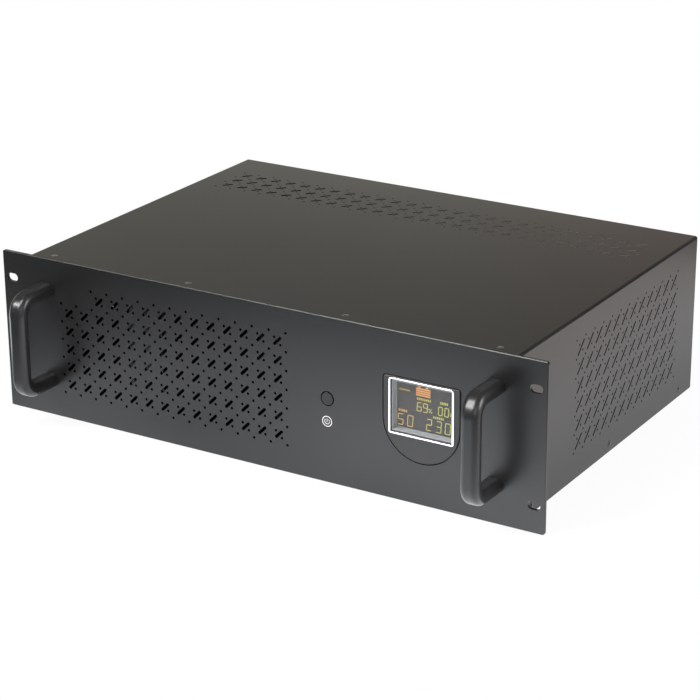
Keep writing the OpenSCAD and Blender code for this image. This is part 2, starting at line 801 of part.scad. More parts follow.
module display_lens() {
  color("lightblue", 0.4) placed() wall_xz(lens_face, lens_t)
    translate([display_x, trim_z]) rect(window_w - fit, window_h - fit);
}

// Pale tunnel from the lens back to the LCD, with a lip that rests on the bezel's flange
module display_tunnel() {
  color("lightgray") placed() translate([display_x, 0, trim_z]) {
    wall_xz(lens_back, tunnel_d) difference() {
      rect(opening_w - fit, opening_h - fit);
      rect(opening_w - 2 * tunnel_wall, opening_h - 2 * tunnel_wall);
    }
    wall_xz(flange_back, lcd_face - flange_back) difference() {
      rect(opening_w + 2 * tunnel_lip, opening_h + 2 * tunnel_lip);
      rect(opening_w - 2 * tunnel_wall, opening_h - 2 * tunnel_wall);
    }
  }
}

module lcd_panel() {
  color("#3b3c40") placed() wall_xz(lcd_face, lcd_t) translate([display_x, trim_z]) rect(lcd_w, lcd_h);
}

module display_board() {
  color("darkgreen") placed() wall_xz(lcd_back, board_t) translate([display_x, 0]) difference() {
    translate([0, trim_z]) rect(display_board_w, lcd_h);
    for (sx = [-1, 1], z = display_screw_z)
      translate([sx * display_screw_x, z]) circle(d = display_screw_d + 2 * fit);
  }
}

module display_screws() {
  color("silver") placed() for (sx = [-1, 1], z = display_screw_z)
    translate([display_x + sx * display_screw_x, lcd_back + board_t, z]) rotate([-90, 0, 0])
      pan_screw(display_screw_d - fit, board_t + lcd_back - flange_back - fit);
}

// Push button: a cap in the panel, a rim that keeps it in and a stem that works the switch
module power_button() {
  edge = 0.4;
  rim_back = rim_front + rim_t;
  color("#3a3b3e") placed() {
    translate([button_x, -button_proud, button_z]) rotate([-90, 0, 0])
      cylinder(d1 = button_d - 2 * edge, d2 = button_d, h = edge);
    rod_y(button_x, edge - button_proud, button_z, button_d, rim_back + button_proud - edge);
    rod_y(button_x, rim_front, button_z, button_d + 2 * button_rim, rim_t);
    rod_y(button_x, rim_back - cut, button_z, stem_d, switch_front + stem_entry - rim_back + cut);
  }
}

// Moulded holder behind the front frame that carries the switch
module button_holder() {
  color("#232426") placed() wall_xz(frame_back, holder_back - frame_back)
    translate([button_x, button_z]) difference() {
      rounded_rect(holder_w, holder_w, holder_wall);
      circle(d = holder_bore);
    }
}

module power_switch() {
  color("dimgray") placed() difference() {
    wall_xz(switch_front, switch_d) translate([button_x, button_z]) rect(switch_w, switch_w);
    rod_y(button_x, switch_front - cut, button_z, stem_bore, stem_entry + button_travel + 2 * cut);
  }
}

module switch_board() {
  color("darkgreen") placed() wall_xz(holder_back, board_t)
    translate([button_x, button_z]) rect(holder_w, holder_w);
}

// Fan frame: a square with a round duct, and four struts that carry the motor
module fan_frame() {
  plate_t = 4;
  boss_d = hub_d / 2;
  boss_short = 7;
  strut_w = 5;
  corner_r = 4;
  blind = 1;
  color("#1d1e20") placed() translate([fan_x, 0, fan_z]) {
    wall_xz(fan_front, fan_d) difference() {
      rounded_rect(fan_w, fan_w, corner_r);
      circle(d = fan_bore, $fn = 96);
      for (sx = [-1, 1], sz = [-1, 1]) translate([sx, sz] * fan_pitch / 2) circle(d = pan_d + 2 * fit);
    }
    difference() {
      union() {
        wall_xz(fan_front, plate_t) {
          circle(d = hub_d);
          intersection() {
            circle(d = fan_bore + cut);
            for (a = [45, 135]) rotate(a) rect(fan_bore + 2 * cut, strut_w);
          }
        }
        rod_y(0, fan_front, 0, boss_d, fan_d - boss_short);
      }
      rod_y(0, fan_front + blind, 0, shaft_d + 2 * shaft_play, fan_d);
    }
  }
}

// Fan rotor: a cup on a shaft, with pitched blades
module fan_rotor() {
  cup_lift = 5;
  cup_y = fan_front + cup_lift;
  cup_l = fan_d - cup_lift - 2;
  cup_wall = 2;
  cup_bore = hub_d - 2 * cup_wall;
  tip_d = fan_bore - 2 * blade_gap;
  color("#151617") placed() translate([fan_x, 0, fan_z]) {
    difference() {
      union() {
        rod_y(0, cup_y, 0, hub_d, cup_l);
        for (i = [0:blades - 1]) rotate([0, i * 360 / blades, 0]) intersection() {
          rod_y(0, cup_y, 0, tip_d, cup_l);
          translate([tip_d / 2, cup_y + cup_l / 2, 0]) rotate([blade_angle, 0, 0])
            cube([tip_d - cup_bore, 2 * cup_l, blade_t], center = true);
        }
      }
      rod_y(0, cup_y - cut, 0, cup_bore, cup_l - cup_wall + cut);
    }
    rod_y(0, fan_front + 2, 0, shaft_d, cup_l + cup_lift - 3);
  }
}

// Wire guard over the fan's outlet: rings on four crossing wires that end in screw eyes
module fan_guard() {
  eye_d = 2 * pan_d + 2;
  reach = fan_pitch / sqrt(2);
  ring_y = rear_y + 1.5 * guard_wire;
  color("silver") placed() translate([fan_x, 0, fan_z]) {
    for (i = [1:guard_rings])
      translate([0, ring_y, 0]) rotate([90, 0, 0]) rotate_extrude()
        translate([i * (fan_bore + guard_wire) / 2 / guard_rings, 0]) circle(d = guard_wire, $fn = 24);
    for (a = [45, 135])
      rotate([0, a, 0]) translate([0, rear_y + guard_wire / 2, 0])
        cube([2 * reach - eye_d + 1, guard_wire, guard_wire], center = true);
    wall_xz(rear_y, guard_wire) for (sx = [-1, 1], sz = [-1, 1])
      translate([sx, sz] * fan_pitch / 2) difference() {
        circle(d = eye_d);
        circle(d = pan_d + 2 * fit);
      }
  }
}

module fan_screws() {
  color("silver") placed() for (sx = [-1, 1], sz = [-1, 1])
    translate([fan_x + sx * fan_pitch / 2, rear_y + guard_wire, fan_z + sz * fan_pitch / 2])
      rotate([-90, 0, 0]) pan_screw(pan_d, fan_d);
}

// A plug's outline, with its two upper corners cut off
module plug_outline(grow = 0) {
  w = plug_w / 2 + grow;
  h = plug_h / 2 + grow;
  c = plug_h / 4;
  polygon([[-w, -h], [w, -h], [w, h - c], [w - c, h], [c - w, h], [-w, h - c]]);
}

// Places of the three contacts of a plug
function contacts() = [[-7, -2], [7, -2], [0, 2]];

// Mains inlet: a flanged shell with a plug recess
module ac_inlet() {
  color("#1b1c1e") placed() translate([inlet_x, 0, inlet_z]) difference() {
    union() {
      wall_xz(rear_y - socket_back, socket_back) rect(socket_w, socket_h);
      wall_xz(rear_y, socket_flange)
        rounded_rect(socket_w + 2 * socket_lap, socket_h + 2 * socket_lap, socket_lap);
    }
    wall_xz(rear_y + socket_flange - plug_d, plug_d + cut) plug_outline(plug_play);
  }
}

module inlet_pins() {
  pin_t = 2;
  pin_w = 4;
  pin_short = 2;
  color("silver") placed() translate([inlet_x, 0, inlet_z])
    wall_xz(rear_y + socket_flange - plug_d, plug_d - pin_short)
      for (p = contacts()) translate(p) rect(pin_t, pin_w);
}

// Mains outlet: a flanged shell with a nose that holds three contacts, and a moat round the nose
module outlet(i) {
  slot_t = 2.6;
  slot_w = 4.8;
  color("#1b1c1e") placed() translate([outlet_at(i), 0, outlet_z]) difference() {
    union() {
      wall_xz(rear_y - socket_back, socket_back) rect(outlet_w, outlet_h);
      wall_xz(rear_y, socket_flange)
        rounded_rect(outlet_w + 2 * socket_lap, outlet_h + 2 * socket_lap, socket_lap);
    }
    wall_xz(rear_y + socket_flange - plug_d, plug_d + cut) {
      difference() {
        plug_outline(moat);
        plug_outline();
      }
      for (p = contacts()) translate(p) rect(slot_t, slot_w);
    }
  }
}

module outlet_1() {
  outlet(0);
}

module outlet_2() {
  outlet(1);
}

module outlet_3() {
  outlet(2);
}

module outlet_4() {
  outlet(3);
}

// Resettable breaker: a body inside, a threaded bush through the rear panel
module breaker_body() {
  body_depth = 22;
  body_side = [15, 30];
  bore_in = 10;
  bore_d = reset_d + 2 * slide_gap;
  color("#1b1c1e") placed() difference() {
    union() {
      wall_xz(inner_y - body_depth, body_depth)
        translate([inlet_x, breaker_z]) rect(body_side[0], body_side[1]);
      rod_y(inlet_x, inner_y - cut, breaker_z, bush_d, sheet_t + bush_reach + cut);
    }
    rod_y(inlet_x, inner_y - bore_in, breaker_z, bore_d, bore_in + sheet_t + bush_reach + cut);
  }
}

module breaker_nut() {
  nut_t = 2.6;
  nut_wall = 2.5;
  color("silver") placed() wall_xz(rear_y, nut_t) translate([inlet_x, breaker_z]) difference() {
    circle(d = bush_d + 2 * nut_wall, $fn = 6);
    circle(d = bush_d + fit);
  }
}

module breaker_button() {
  tip = 0.8;
  hidden = 6;
  low = inner_y - hidden;
  color("#b3231e") placed() {
    rod_y(inlet_x, low, breaker_z, reset_d, rear_y + back_reach - tip - low);
    translate([inlet_x, rear_y + back_reach - tip, breaker_z]) rotate([-90, 0, 0])
      cylinder(d1 = reset_d, d2 = reset_d - 2 * tip, h = tip);
  }
}

// Square data port with a centre tongue
module usb_port() {
  wall = 1.6;
  tongue_w = 5.6;
  tongue_h = 3.2;
  tongue_short = 2;
  port_floor = 3;
  color("whitesmoke") placed() translate([-port_x, 0, usb_z]) {
    wall_xz(data_board_y, port_d + sheet_t) difference() {
      rect(usb_w, usb_h);
      rect(usb_w - 2 * wall, usb_h - 2 * wall);
    }
    wall_xz(data_board_y, port_floor) rect(usb_w - wall, usb_h - wall);
    wall_xz(data_board_y, port_d - tongue_short) rect(tongue_w, tongue_h);
  }
}

// Twin network jack with a latch notch under each opening
module network_jack() {
  hole_w = 11.8;
  hole_h = 8;
  notch_w = 6;
  notch_h = 2;
  hole_d = 12;
  color("#26272a") placed() translate([-port_x, 0, jack_z]) difference() {
    wall_xz(data_board_y, port_d + sheet_t) rect(2 * jack_w, jack_h);
    for (s = [-1, 1]) translate([s * jack_w / 2, 0, 0]) {
      wall_xz(rear_y - hole_d, hole_d + cut) rect(hole_w, hole_h);
      wall_xz(rear_y - hole_d, hole_d + cut) translate([0, -hole_h / 2]) rect(notch_w, 2 * notch_h);
    }
  }
}

module data_board() {
  color("darkgreen") placed() wall_xz(data_board_y - board_t, board_t) translate([-port_x, 0]) difference() {
    translate([-data_w / 2, data_low]) square([data_w, data_high - data_low]);
    for (p = data_posts) translate(p) circle(d = pan_d);
  }
}

module data_standoffs() {
  color("goldenrod") placed() for (p = data_posts) {
    rod_y(p[0] - port_x, data_board_y, p[1], data_post_d, port_d);
    translate([p[0] - port_x, rear_y, p[1]]) rotate([-90, 0, 0]) pan_screw(pan_d - fit, sheet_t);
  }
}

// Sealed battery: a case with a sunk lid and a carrying rib along each long edge
module battery_at(x) {
  lid_rim = 4;
  lid_drop = 1.2;
  edge = 2;
  color("#3c3e42") placed() translate([x + battery_w / 2, battery_y + battery_l / 2, floor_z]) difference() {
    linear_extrude(battery_h) rounded_rect(battery_w, battery_l, edge);
    translate([0, 0, battery_h - lid_drop]) linear_extrude(lid_drop + cut) difference() {
      rounded_rect(battery_w - 2 * lid_rim, battery_l - 2 * lid_rim, edge);
      for (s = [-1, 1])
        translate([s * (battery_w / 2 - terminal_in), terminal_y - strap_y]) rect(terminal_pad, terminal_pad);
      rect(battery_w, strap_w + 2);
    }
  }
}

function battery_left_x() = batteries_x;
function battery_right_x() = batteries_x + battery_w + battery_gap;

// Places of the terminals, from left to right
function terminal_xs() = [
  for (x = [battery_left_x(), battery_right_x()], u = [terminal_in, battery_w - terminal_in]) x + u
];

module battery_left() {
  battery_at(battery_left_x());
}

module battery_right() {
  battery_at(battery_right_x());
}

module battery_terminals() {
  color("silver") placed() for (x = terminal_xs())
    translate([x, terminal_y, battery_top + terminal_h / 2])
      cube([terminal_w, terminal_t, terminal_h], center = true);
}

// A hat-shaped strip in X and Z over a block from x0 to x1 and up to z1, with a foot on each side
module hat_strip(x0, x1, z1) {
  translate([x0 - strap_t, floor_z]) square([strap_t, z1 - floor_z + strap_t]);
  translate([x1, floor_z]) square([strap_t, z1 - floor_z + strap_t]);
  translate([x0 - strap_t, z1]) square([x1 - x0 + 2 * strap_t, strap_t]);
  translate([x0 - strap_t - foot_l, floor_z]) square([foot_l + strap_t, strap_t]);
  translate([x1, floor_z]) square([foot_l + strap_t, strap_t]);
}

module foot_holes(places) {
  for (p = places) translate([p[0], p[1], 0]) cylinder(d = pan_d + fit, h = floor_z + strap_t + cut);
}

module foot_screws(places) {
  for (p = places) translate([p[0], p[1], floor_z + strap_t]) pan_screw(pan_d, strap_t + floor_z - fit);
}

module battery_strap() {
  color("lightgray") placed() difference() {
    wall_xz(strap_y - strap_w / 2, strap_w) hat_strip(strap_x0, strap_x1, battery_top);
    foot_holes(foot_screws_strap);
  }
}

module strap_screws() {
  color("silver") placed() foot_screws(foot_screws_strap);
}

// A lead with two round bends: up from one end, across, and down to the other
module lead(x0, x1, z0, z1, high) {
  across = x1 - x0;
  s = sign(across);
  low = high - lead_bend;
  translate([x0, 0, z0]) cylinder(d = lead_d, h = low - z0);
  translate([x1, 0, z1]) cylinder(d = lead_d, h = low - z1);
  translate([x0 + s * lead_bend, 0, high]) rotate([0, s * 90, 0])
    cylinder(d = lead_d, h = abs(across) - 2 * lead_bend);
  translate([x0 + s * lead_bend, 0, low]) rotate([90, 0, 0]) rotate(s > 0 ? 90 : 0) lead_elbow();
  translate([x1 - s * lead_bend, 0, low]) rotate([90, 0, 0]) rotate(s > 0 ? 0 : 90) lead_elbow();
}

module lead_elbow() {
  rotate_extrude(angle = 90) translate([lead_bend, 0]) circle(d = lead_d);
}

module positive_lead() {
  color("firebrick") placed() translate([0, terminal_y, 0])
    lead(terminal_xs()[0], lead_x, lead_rise, board_top, lead_rise + lead_bend + 3);
}

module negative_lead() {
  color("#1a1a1a") placed() translate([0, terminal_y, 0])
    lead(terminal_xs()[3], lead_x - 3 * lead_d, lead_rise, board_top, lead_rise + lead_bend + 3 + lead_step);
}

module battery_link() {
  color("#1a1a1a") placed() translate([0, terminal_y, 0])
    lead(terminal_xs()[1], terminal_xs()[2], lead_rise, lead_rise, lead_rise + lead_bend + 3);
}

// Laminated core with two windows for the coil
module transformer_core() {
  color("#5b5d60") placed() wall_xz(core_mid_y - core_stack / 2, core_stack)
    translate([core_x, floor_z]) difference() {
      translate([-core_w / 2, 0]) square([core_w, core_h]);
      for (s = [-1, 1])
        translate([s * (core_leg + core_window) / 2, core_h / 2]) rect(core_window, core_h - 2 * core_yoke);
    }
}

// Coil round the core's middle leg
module transformer_coil() {
  build = core_window - 2 * coil_play;
  inner_w = core_leg + 2 * coil_play;
  inner_l = core_stack + 2 * coil_play;
  color("#b5752c") placed() translate([core_x, core_mid_y, floor_z + core_yoke + coil_play])
    linear_extrude(core_h - 2 * core_yoke - 2 * coil_play) difference() {
      rounded_rect(inner_w + 2 * build, inner_l + 2 * build, build / 2);
      rect(inner_w, inner_l);
    }
}

module transformer_clamp() {
  color("lightgray") placed() difference() {
    wall_xz(core_mid_y - clamp_w / 2, clamp_w)
      hat_strip(core_x - core_w / 2 - fit, core_x + core_w / 2 + fit, floor_z + core_h);
    foot_holes(foot_screws_clamp);
  }
}

module clamp_screws() {
  color("silver") placed() foot_screws(foot_screws_clamp);
}

module main_board() {
  color("darkgreen") placed() translate([0, 0, board_z]) linear_extrude(board_t) difference() {
    translate([board_x - board_w / 2, board_y]) square([board_w, board_l]);
    for (p = standoffs) translate(p) circle(d = pan_d + fit);
  }
}

module board_standoffs() {
  post_floor = 2;
  color("goldenrod") placed() for (p = standoffs) translate([p[0], p[1], floor_z]) difference() {
    cylinder(d = 2 * pan_d, h = board_z - floor_z);
    translate([0, 0, post_floor]) cylinder(d = pan_d, h = board_z);
  }
}

module board_screws() {
  screw_l = 6;
  color("silver") placed() for (p = standoffs)
    translate([p[0], p[1], board_top]) pan_screw(pan_d - fit, screw_l);
}

// Finned heat sink that stands on the board, its base to the front
module heat_sink(at) {
  fin_t = 1.6;
  fin_pitch = (sink_w - fin_t) / (sink_fins - 1);
  color("darkgray") placed() translate([at[0], at[1], board_top]) linear_extrude(sink_h) {
    square([sink_w, sink_base]);
    for (i = [0:sink_fins - 1]) translate([i * fin_pitch, 0]) square([fin_t, sink_d]);
  }
}

module front_heat_sink() {
  heat_sink(sinks[0]);
}

module rear_heat_sink() {
  heat_sink(sinks[1]);
}

// A power transistor on the front of each heat sink, with three legs
module power_transistors() {
  case_w = 15.6;
  case_h = 20;
  case_t = 5;
  leg_l = 12;
  leg = [1.2, 0.8];
  leg_pitch = 5.4;
  color("#1a1a1a") placed() for (p = sinks)
    translate([p[0] + sink_w / 2, p[1] - case_t, board_top]) {
      translate([-case_w / 2, 0, leg_l]) cube([case_w, case_t, case_h]);
      for (j = [-1:1]) translate([j * leg_pitch, case_t / 2, 0]) linear_extrude(leg_l) rect(leg[0], leg[1]);
    }
}

module capacitors() {
  can_d = 22;
  can_h = 25;
  can_pitch = 26;
  can_edge = 45;
  color("#22335a") placed() for (i = [0:3])
    translate([board_x + board_w / 2 - can_edge, sink_y + can_d / 2 + i * can_pitch, board_top])
      cylinder(d = can_d, h = can_h);
}

module relays() {
  relay_w = 16;
  relay_l = 28;
  relay_h = 20;
  relay_pitch = 22;
  relay_side = 14;
  relay_rear = 12;
  color("#23262b") placed() for (i = [0:3])
    translate([board_x - board_w / 2 + relay_side + i * relay_pitch,
      board_y + board_l - relay_rear - relay_l, board_top]) cube([relay_w, relay_l, relay_h]);
}

front_panel();
front_frame();
chassis_base();
rear_panel();
top_cover();
left_handle();
right_handle();
handle_screws();
cover_top_screws();
cover_side_screws();
display_bezel();
display_trim();
display_lens();
display_tunnel();
lcd_panel();
display_board();
display_screws();
power_button();
button_holder();
power_switch();
switch_board();
fan_frame();
fan_rotor();
fan_guard();
fan_screws();
ac_inlet();
inlet_pins();
outlet_1();
outlet_2();
outlet_3();
outlet_4();
breaker_body();
breaker_nut();
breaker_button();
usb_port();
network_jack();
data_board();
data_standoffs();
battery_left();
battery_right();
battery_terminals();
battery_strap();
strap_screws();
positive_lead();
negative_lead();
battery_link();
transformer_core();
transformer_coil();
transformer_clamp();
clamp_screws();
main_board();
board_standoffs();
board_screws();
front_heat_sink();
rear_heat_sink();
power_transistors();
capacitors();
relays();
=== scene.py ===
import json
import math

import bpy
from mathutils import Matrix, Vector


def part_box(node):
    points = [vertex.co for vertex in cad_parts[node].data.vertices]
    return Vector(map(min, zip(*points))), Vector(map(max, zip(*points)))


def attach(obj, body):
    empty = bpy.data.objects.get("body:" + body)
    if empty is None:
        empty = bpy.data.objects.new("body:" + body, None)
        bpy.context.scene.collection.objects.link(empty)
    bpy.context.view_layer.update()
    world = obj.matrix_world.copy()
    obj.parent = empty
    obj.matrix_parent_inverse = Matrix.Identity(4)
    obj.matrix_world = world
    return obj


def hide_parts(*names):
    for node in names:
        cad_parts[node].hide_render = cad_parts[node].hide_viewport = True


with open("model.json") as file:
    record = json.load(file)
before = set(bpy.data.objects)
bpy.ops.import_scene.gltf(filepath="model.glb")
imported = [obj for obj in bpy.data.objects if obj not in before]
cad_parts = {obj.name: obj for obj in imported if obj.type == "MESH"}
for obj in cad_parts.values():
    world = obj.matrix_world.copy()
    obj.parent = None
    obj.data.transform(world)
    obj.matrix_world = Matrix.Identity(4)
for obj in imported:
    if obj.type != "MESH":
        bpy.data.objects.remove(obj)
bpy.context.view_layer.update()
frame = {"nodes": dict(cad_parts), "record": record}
mm = 0.001
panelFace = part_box("front_panel")[0].y  # front plane of the rack panel
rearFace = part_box("rear_panel")[1].y  # outer plane of the rear sheet
coverSide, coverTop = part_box("top_cover")[1].x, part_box("top_cover")[1].z
hair = 0.01 * mm  # how near a point has to be to count as on a plane
flat = 0.99  # part of a normal along an axis for a face that looks that way
print("frame loaded,", len(frame["nodes"]), "nodes")

# the camera stands where the photographer stood
cameraSet = {"place": (0.90707, -1.48379, 0.71785), "azimuth": 31.597, "elevation": 21.078, "roll": -0.397,
             "lens": 119.7}


def addCamera(s):
    az, el, roll = (math.radians(s[k]) for k in ("azimuth", "elevation", "roll"))
    right = Vector((math.cos(az), math.sin(az), 0))
    back = Vector((math.sin(az) * math.cos(el), -math.cos(az) * math.cos(el), math.sin(el)))
    up = back.cross(right)
    sideways = right * math.cos(roll) + up * math.sin(roll)
    upwards = up * math.cos(roll) - right * math.sin(roll)
    data = bpy.data.cameras.new("photoCamera")
    data.lens = s["lens"]
    data.sensor_width = 36
    camera = bpy.data.objects.new("photoCamera", data)
    bpy.context.scene.collection.objects.link(camera)
    turn = Matrix((sideways, upwards, back)).transposed().to_4x4()
    camera.matrix_world = Matrix.Translation(s["place"]) @ turn
    bpy.context.scene.camera = camera


addCamera(cameraSet)
print("camera set")


class Flow:
    # one node output; sums of flows and numbers turn into Math nodes
    def __init__(self, tree, socket=None):
        self.tree = tree
        self.socket = socket

    def node(self, kind, settings=None, inputs=None, output=0):
        made = self.tree.nodes.new(kind)
        for key, value in (settings or {}).items():
            if key == "stops":
                ramp = made.color_ramp.elements
                while len(ramp) < len(value):
                    ramp.new(1.0)
                for stop, (place, colour) in zip(ramp, value):
                    stop.position = place
                    stop.color = (*colour, 1)
            else:
                setattr(made, key, value)
        for key, value in (inputs or {}).items():
            if isinstance(value, Flow):
                self.tree.links.new(value.socket, made.inputs[key])
            else:
                made.inputs[key].default_value = value
        return Flow(self.tree, made.outputs[output] if len(made.outputs) else None)

    def maths(self, operation, first, second=0.0):
        return self.node("ShaderNodeMath", {"operation": operation}, {0: first, 1: second})

    def __add__(self, other):
        return self.maths("ADD", self, other)

    def __radd__(self, other):
        return self.maths("ADD", other, self)

    def __sub__(self, other):
        return self.maths("SUBTRACT", self, other)

    def __rsub__(self, other):
        return self.maths("SUBTRACT", other, self)

    def __mul__(self, other):
        return self.maths("MULTIPLY", self, other)

    def __rmul__(self, other):
        return self.maths("MULTIPLY", other, self)

    def __lt__(self, other):
        return self.maths("LESS_THAN", self, other)

    def __gt__(self, other):
        return self.maths("GREATER_THAN", self, other)


def startFinish(name):
    material = bpy.data.materials.new(name)
    material.use_nodes = True
    material.node_tree.nodes.clear()
    return material, Flow(material.node_tree)


def endFinish(flow, values):
    shader = flow.node("ShaderNodeBsdfPrincipled", None, values)
    flow.node("ShaderNodeOutputMaterial", None, {"Surface": shader})


def objectCoords(flow):
    return flow.node("ShaderNodeTexCoord", output="Object")


def stretched(flow, coords, scale):
    return flow.node("ShaderNodeMapping", None, {"Vector": coords, "Scale": scale})


def speckle(flow, coords, size):
    return flow.node("ShaderNodeTexNoise", None, {"Vector": coords, "Scale": 1 / size, "Detail": 2.0})


# the two colours are three numbers each, or flows
def mixColour(flow, factor, first, second, mode="MIX"):
    first, second = (end if isinstance(end, Flow) else (*end, 1) for end in (first, second))
    kind = {"data_type": "RGBA", "blend_type": mode}
    return flow.node("ShaderNodeMix", kind, {0: factor, 6: first, 7: second}, 2)


def mixShader(flow, factor, first, second):
    return flow.node("ShaderNodeMixShader", None, {0: factor, 1: first, 2: second})


def rampColour(flow, stops, factor):
    return flow.node("ShaderNodeValToRGB", {"stops": stops}, {0: factor})


def clamped(flow, value):
    return flow.node("ShaderNodeClamp", None, {0: value})


def distance(flow, first, second):
    return flow.node("ShaderNodeVectorMath", {"operation": "DISTANCE"}, {0: first, 1: second}, 1)


def bumped(flow, strength, depth, height):
    return flow.node("ShaderNodeBump", None, {"Strength": strength, "Distance": depth, "Height": height})


def along(flow, coords, axis):
    return flow.node("ShaderNodeSeparateXYZ", None, {"Vector": coords}, axis)


def weighed(shares, first, second):
    return first * shares[0] + second * shares[1]


def darker(colour, share):
    return [v * share for v in colour]


# 1 on surfaces that lie along an axis, such as the walls of a hole that is cut that way
def edgeOn(flow, axis):
    normal = flow.node("ShaderNodeNewGeometry", output="True Normal")
    return flow.maths("ABSOLUTE", along(flow, normal, axis)) < 0.5


# where the walls of cut holes are, which get painted shade: sheet is a little over the cover's thickness,
# bend is clear of its bends; the slope and start set the painted light in the top's walls
cutSet = {"sheet": 1.25 * mm, "bend": 3 * mm, "panelRim": 1 * mm, "buttonFace": 1 * mm,
          "paintedLightSlope": 2.4, "paintedLightStart": 0.3}


# walls of the holes that are cut through the panel between its ears, which get painted shade; no painted
# light there
def panelCuts(flow, coords):
    inside = flow.maths("ABSOLUTE", along(flow, coords, 0)) < coverSide
    below = along(flow, coords, 2) < coverTop - cutSet["panelRim"]
    return inside * below * edgeOn(flow, 1), 0.0


# walls of the holes in the cover, clear of its bends, which get painted shade; those of the top get painted
# light that grows towards the right
def coverCuts(flow, coords):
    sheet, bend = cutSet["sheet"], cutSet["bend"]
    across, rise = along(flow, coords, 0), along(flow, coords, 2)
    out = flow.maths("ABSOLUTE", across)
    sides = (out > coverSide - sheet) * (rise < coverTop - bend) * edgeOn(flow, 0)
    top = (rise > coverTop - sheet) * (out < coverSide - bend) * edgeOn(flow, 2)
    paintedLight = clamped(flow, across * cutSet["paintedLightSlope"] + cutSet["paintedLightStart"])
    return flow.maths("MAXIMUM", sides, top), top * paintedLight


# what of the button is seen only through the gap round it, which gets painted shade
def buttonShadedWalls(flow, coords):
    return flow.maths("MAXIMUM", edgeOn(flow, 1), along(flow, coords, 1) > panelFace + cutSet["buttonFace"])


# ends a finish with painted shade: a flat dark colour on the walls a test picks, standing in for the shade
# inside holes and gaps
def endWithShadedWalls(flow, values, walls, colour):
    face = flow.node("ShaderNodeBsdfPrincipled", None, values)
    paintedShade = flow.node("ShaderNodeBsdfPrincipled", None, {
        "Base Color": colour, "Roughness": 1.0, "Specular IOR Level": 0.0})
    flow.node("ShaderNodeOutputMaterial", None, {"Surface": mixShader(flow, walls, face, paintedShade)})


# shares of grain and cloud in the coat's tone and roughness, of grain and peel in its relief, and how much of
# the dark tone the painted shade in cut walls keeps
coatMix = {"tone": (0.4, 0.6), "rough": (0.1, 0.06), "relief": (0.7, 0.5), "walls": 0.25}


# baked powder coat: fine grain, a soft orange peel and a faint cloudiness; painted shade in the walls of cut
# holes, and painted light in some of them
def powderCoat(name, s, cuts=None):
    material, flow = startFinish(name)
    coords = objectCoords(flow)
    grain = speckle(flow, coords, s["grain"])
    peel = speckle(flow, coords, s["peel"])
    cloud = speckle(flow, coords, s["cloud"])
    colour = mixColour(flow, weighed(coatMix["tone"], grain, cloud), s["dark"], s["light"])
    rough = s["rough"] + weighed(coatMix["rough"], grain, cloud)
    normal = bumped(flow, s["bump"], s["depth"], weighed(coatMix["relief"], grain, peel))
    coat = {"Base Color": colour, "Roughness": rough, "Specular IOR Level": s["shine"], "Normal": normal}
    if cuts:
        walls, paintedLight = cuts(flow, coords)
        # painted shade on the cut walls, turning to a painted light colour as the light share rises
        wallShade = mixColour(flow, paintedLight, darker(s["dark"], coatMix["walls"]), s["bare"])
        endWithShadedWalls(flow, coat, walls, wallShade)
    else:
        endFinish(flow, coat)
    return material


# shares of pits and cloud in the plastic's tone and roughness, and of its two tones in unlit walls
plasticMix = {"tone": (0.35, 0.6), "rough": (0.08, 0.08), "wallDark": 0.2, "wallLight": 0.3, "shine": 0.5}


# moulded plastic: an even spark-eroded texture with slight flow shading
def mouldedPlastic(name, s, walls=None):
    material, flow = startFinish(name)
    coords = objectCoords(flow)
    pits = flow.node("ShaderNodeTexVoronoi", None, {"Vector": coords, "Scale": 1 / s["grain"]})
    cloud = speckle(flow, coords, s["cloud"])
    colour = mixColour(flow, weighed(plasticMix["tone"], pits, cloud), s["dark"], s["light"])
    rough = s["rough"] + weighed(plasticMix["rough"], pits, cloud)
    normal = bumped(flow, s["bump"], s["depth"], pits)
    plastic = {"Base Color": colour, "Roughness": rough, "Specular IOR Level": plasticMix["shine"],
               "Normal": normal}
    if walls:
        # painted shade on the walls the test picks: darker copies of the plastic's two tones
        ends = darker(s["dark"], plasticMix["wallDark"]), darker(s["light"], plasticMix["wallLight"])
        shade = mixColour(flow, pits, *ends)
        endWithShadedWalls(flow, plastic, walls(flow, coords), shade)
    else:
        endFinish(flow, plastic)
    return material


# shares of spangle and rolling lines in the sheet's tone and roughness
sheetMix = {"tone": (0.6, 0.4), "rough": (0.1, 0.1), "stretch": (1, 0.04, 1), "bump": 0.1, "depth": 0.05 * mm}


# zinc-plated sheet: cold spangle and rolling lines
def platedSheet(name, s):
    material, flow = startFinish(name)
    coords = objectCoords(flow)
    spangle = flow.node("ShaderNodeTexVoronoi", None, {"Vector": coords, "Scale": 1 / s["spangle"]}, 1)
    patch = flow.node("ShaderNodeSeparateColor", None, {"Color": spangle})
    rolled = speckle(flow, stretched(flow, coords, sheetMix["stretch"]), s["line"])
    colour = mixColour(flow, weighed(sheetMix["tone"], patch, rolled), s["dark"], s["light"])
    rough = s["rough"] + weighed(sheetMix["rough"], patch, rolled)
    normal = bumped(flow, sheetMix["bump"], sheetMix["depth"], rolled)
    endFinish(flow, {"Base Color": colour, "Roughness": rough, "Metallic": 1.0, "Normal": normal})
    return material


# shares of tool lines and tint in the metal's tone
metalMix = {"tone": (0.5, 0.5), "rough": 0.15, "bump": 0.12, "depth": 0.04 * mm}


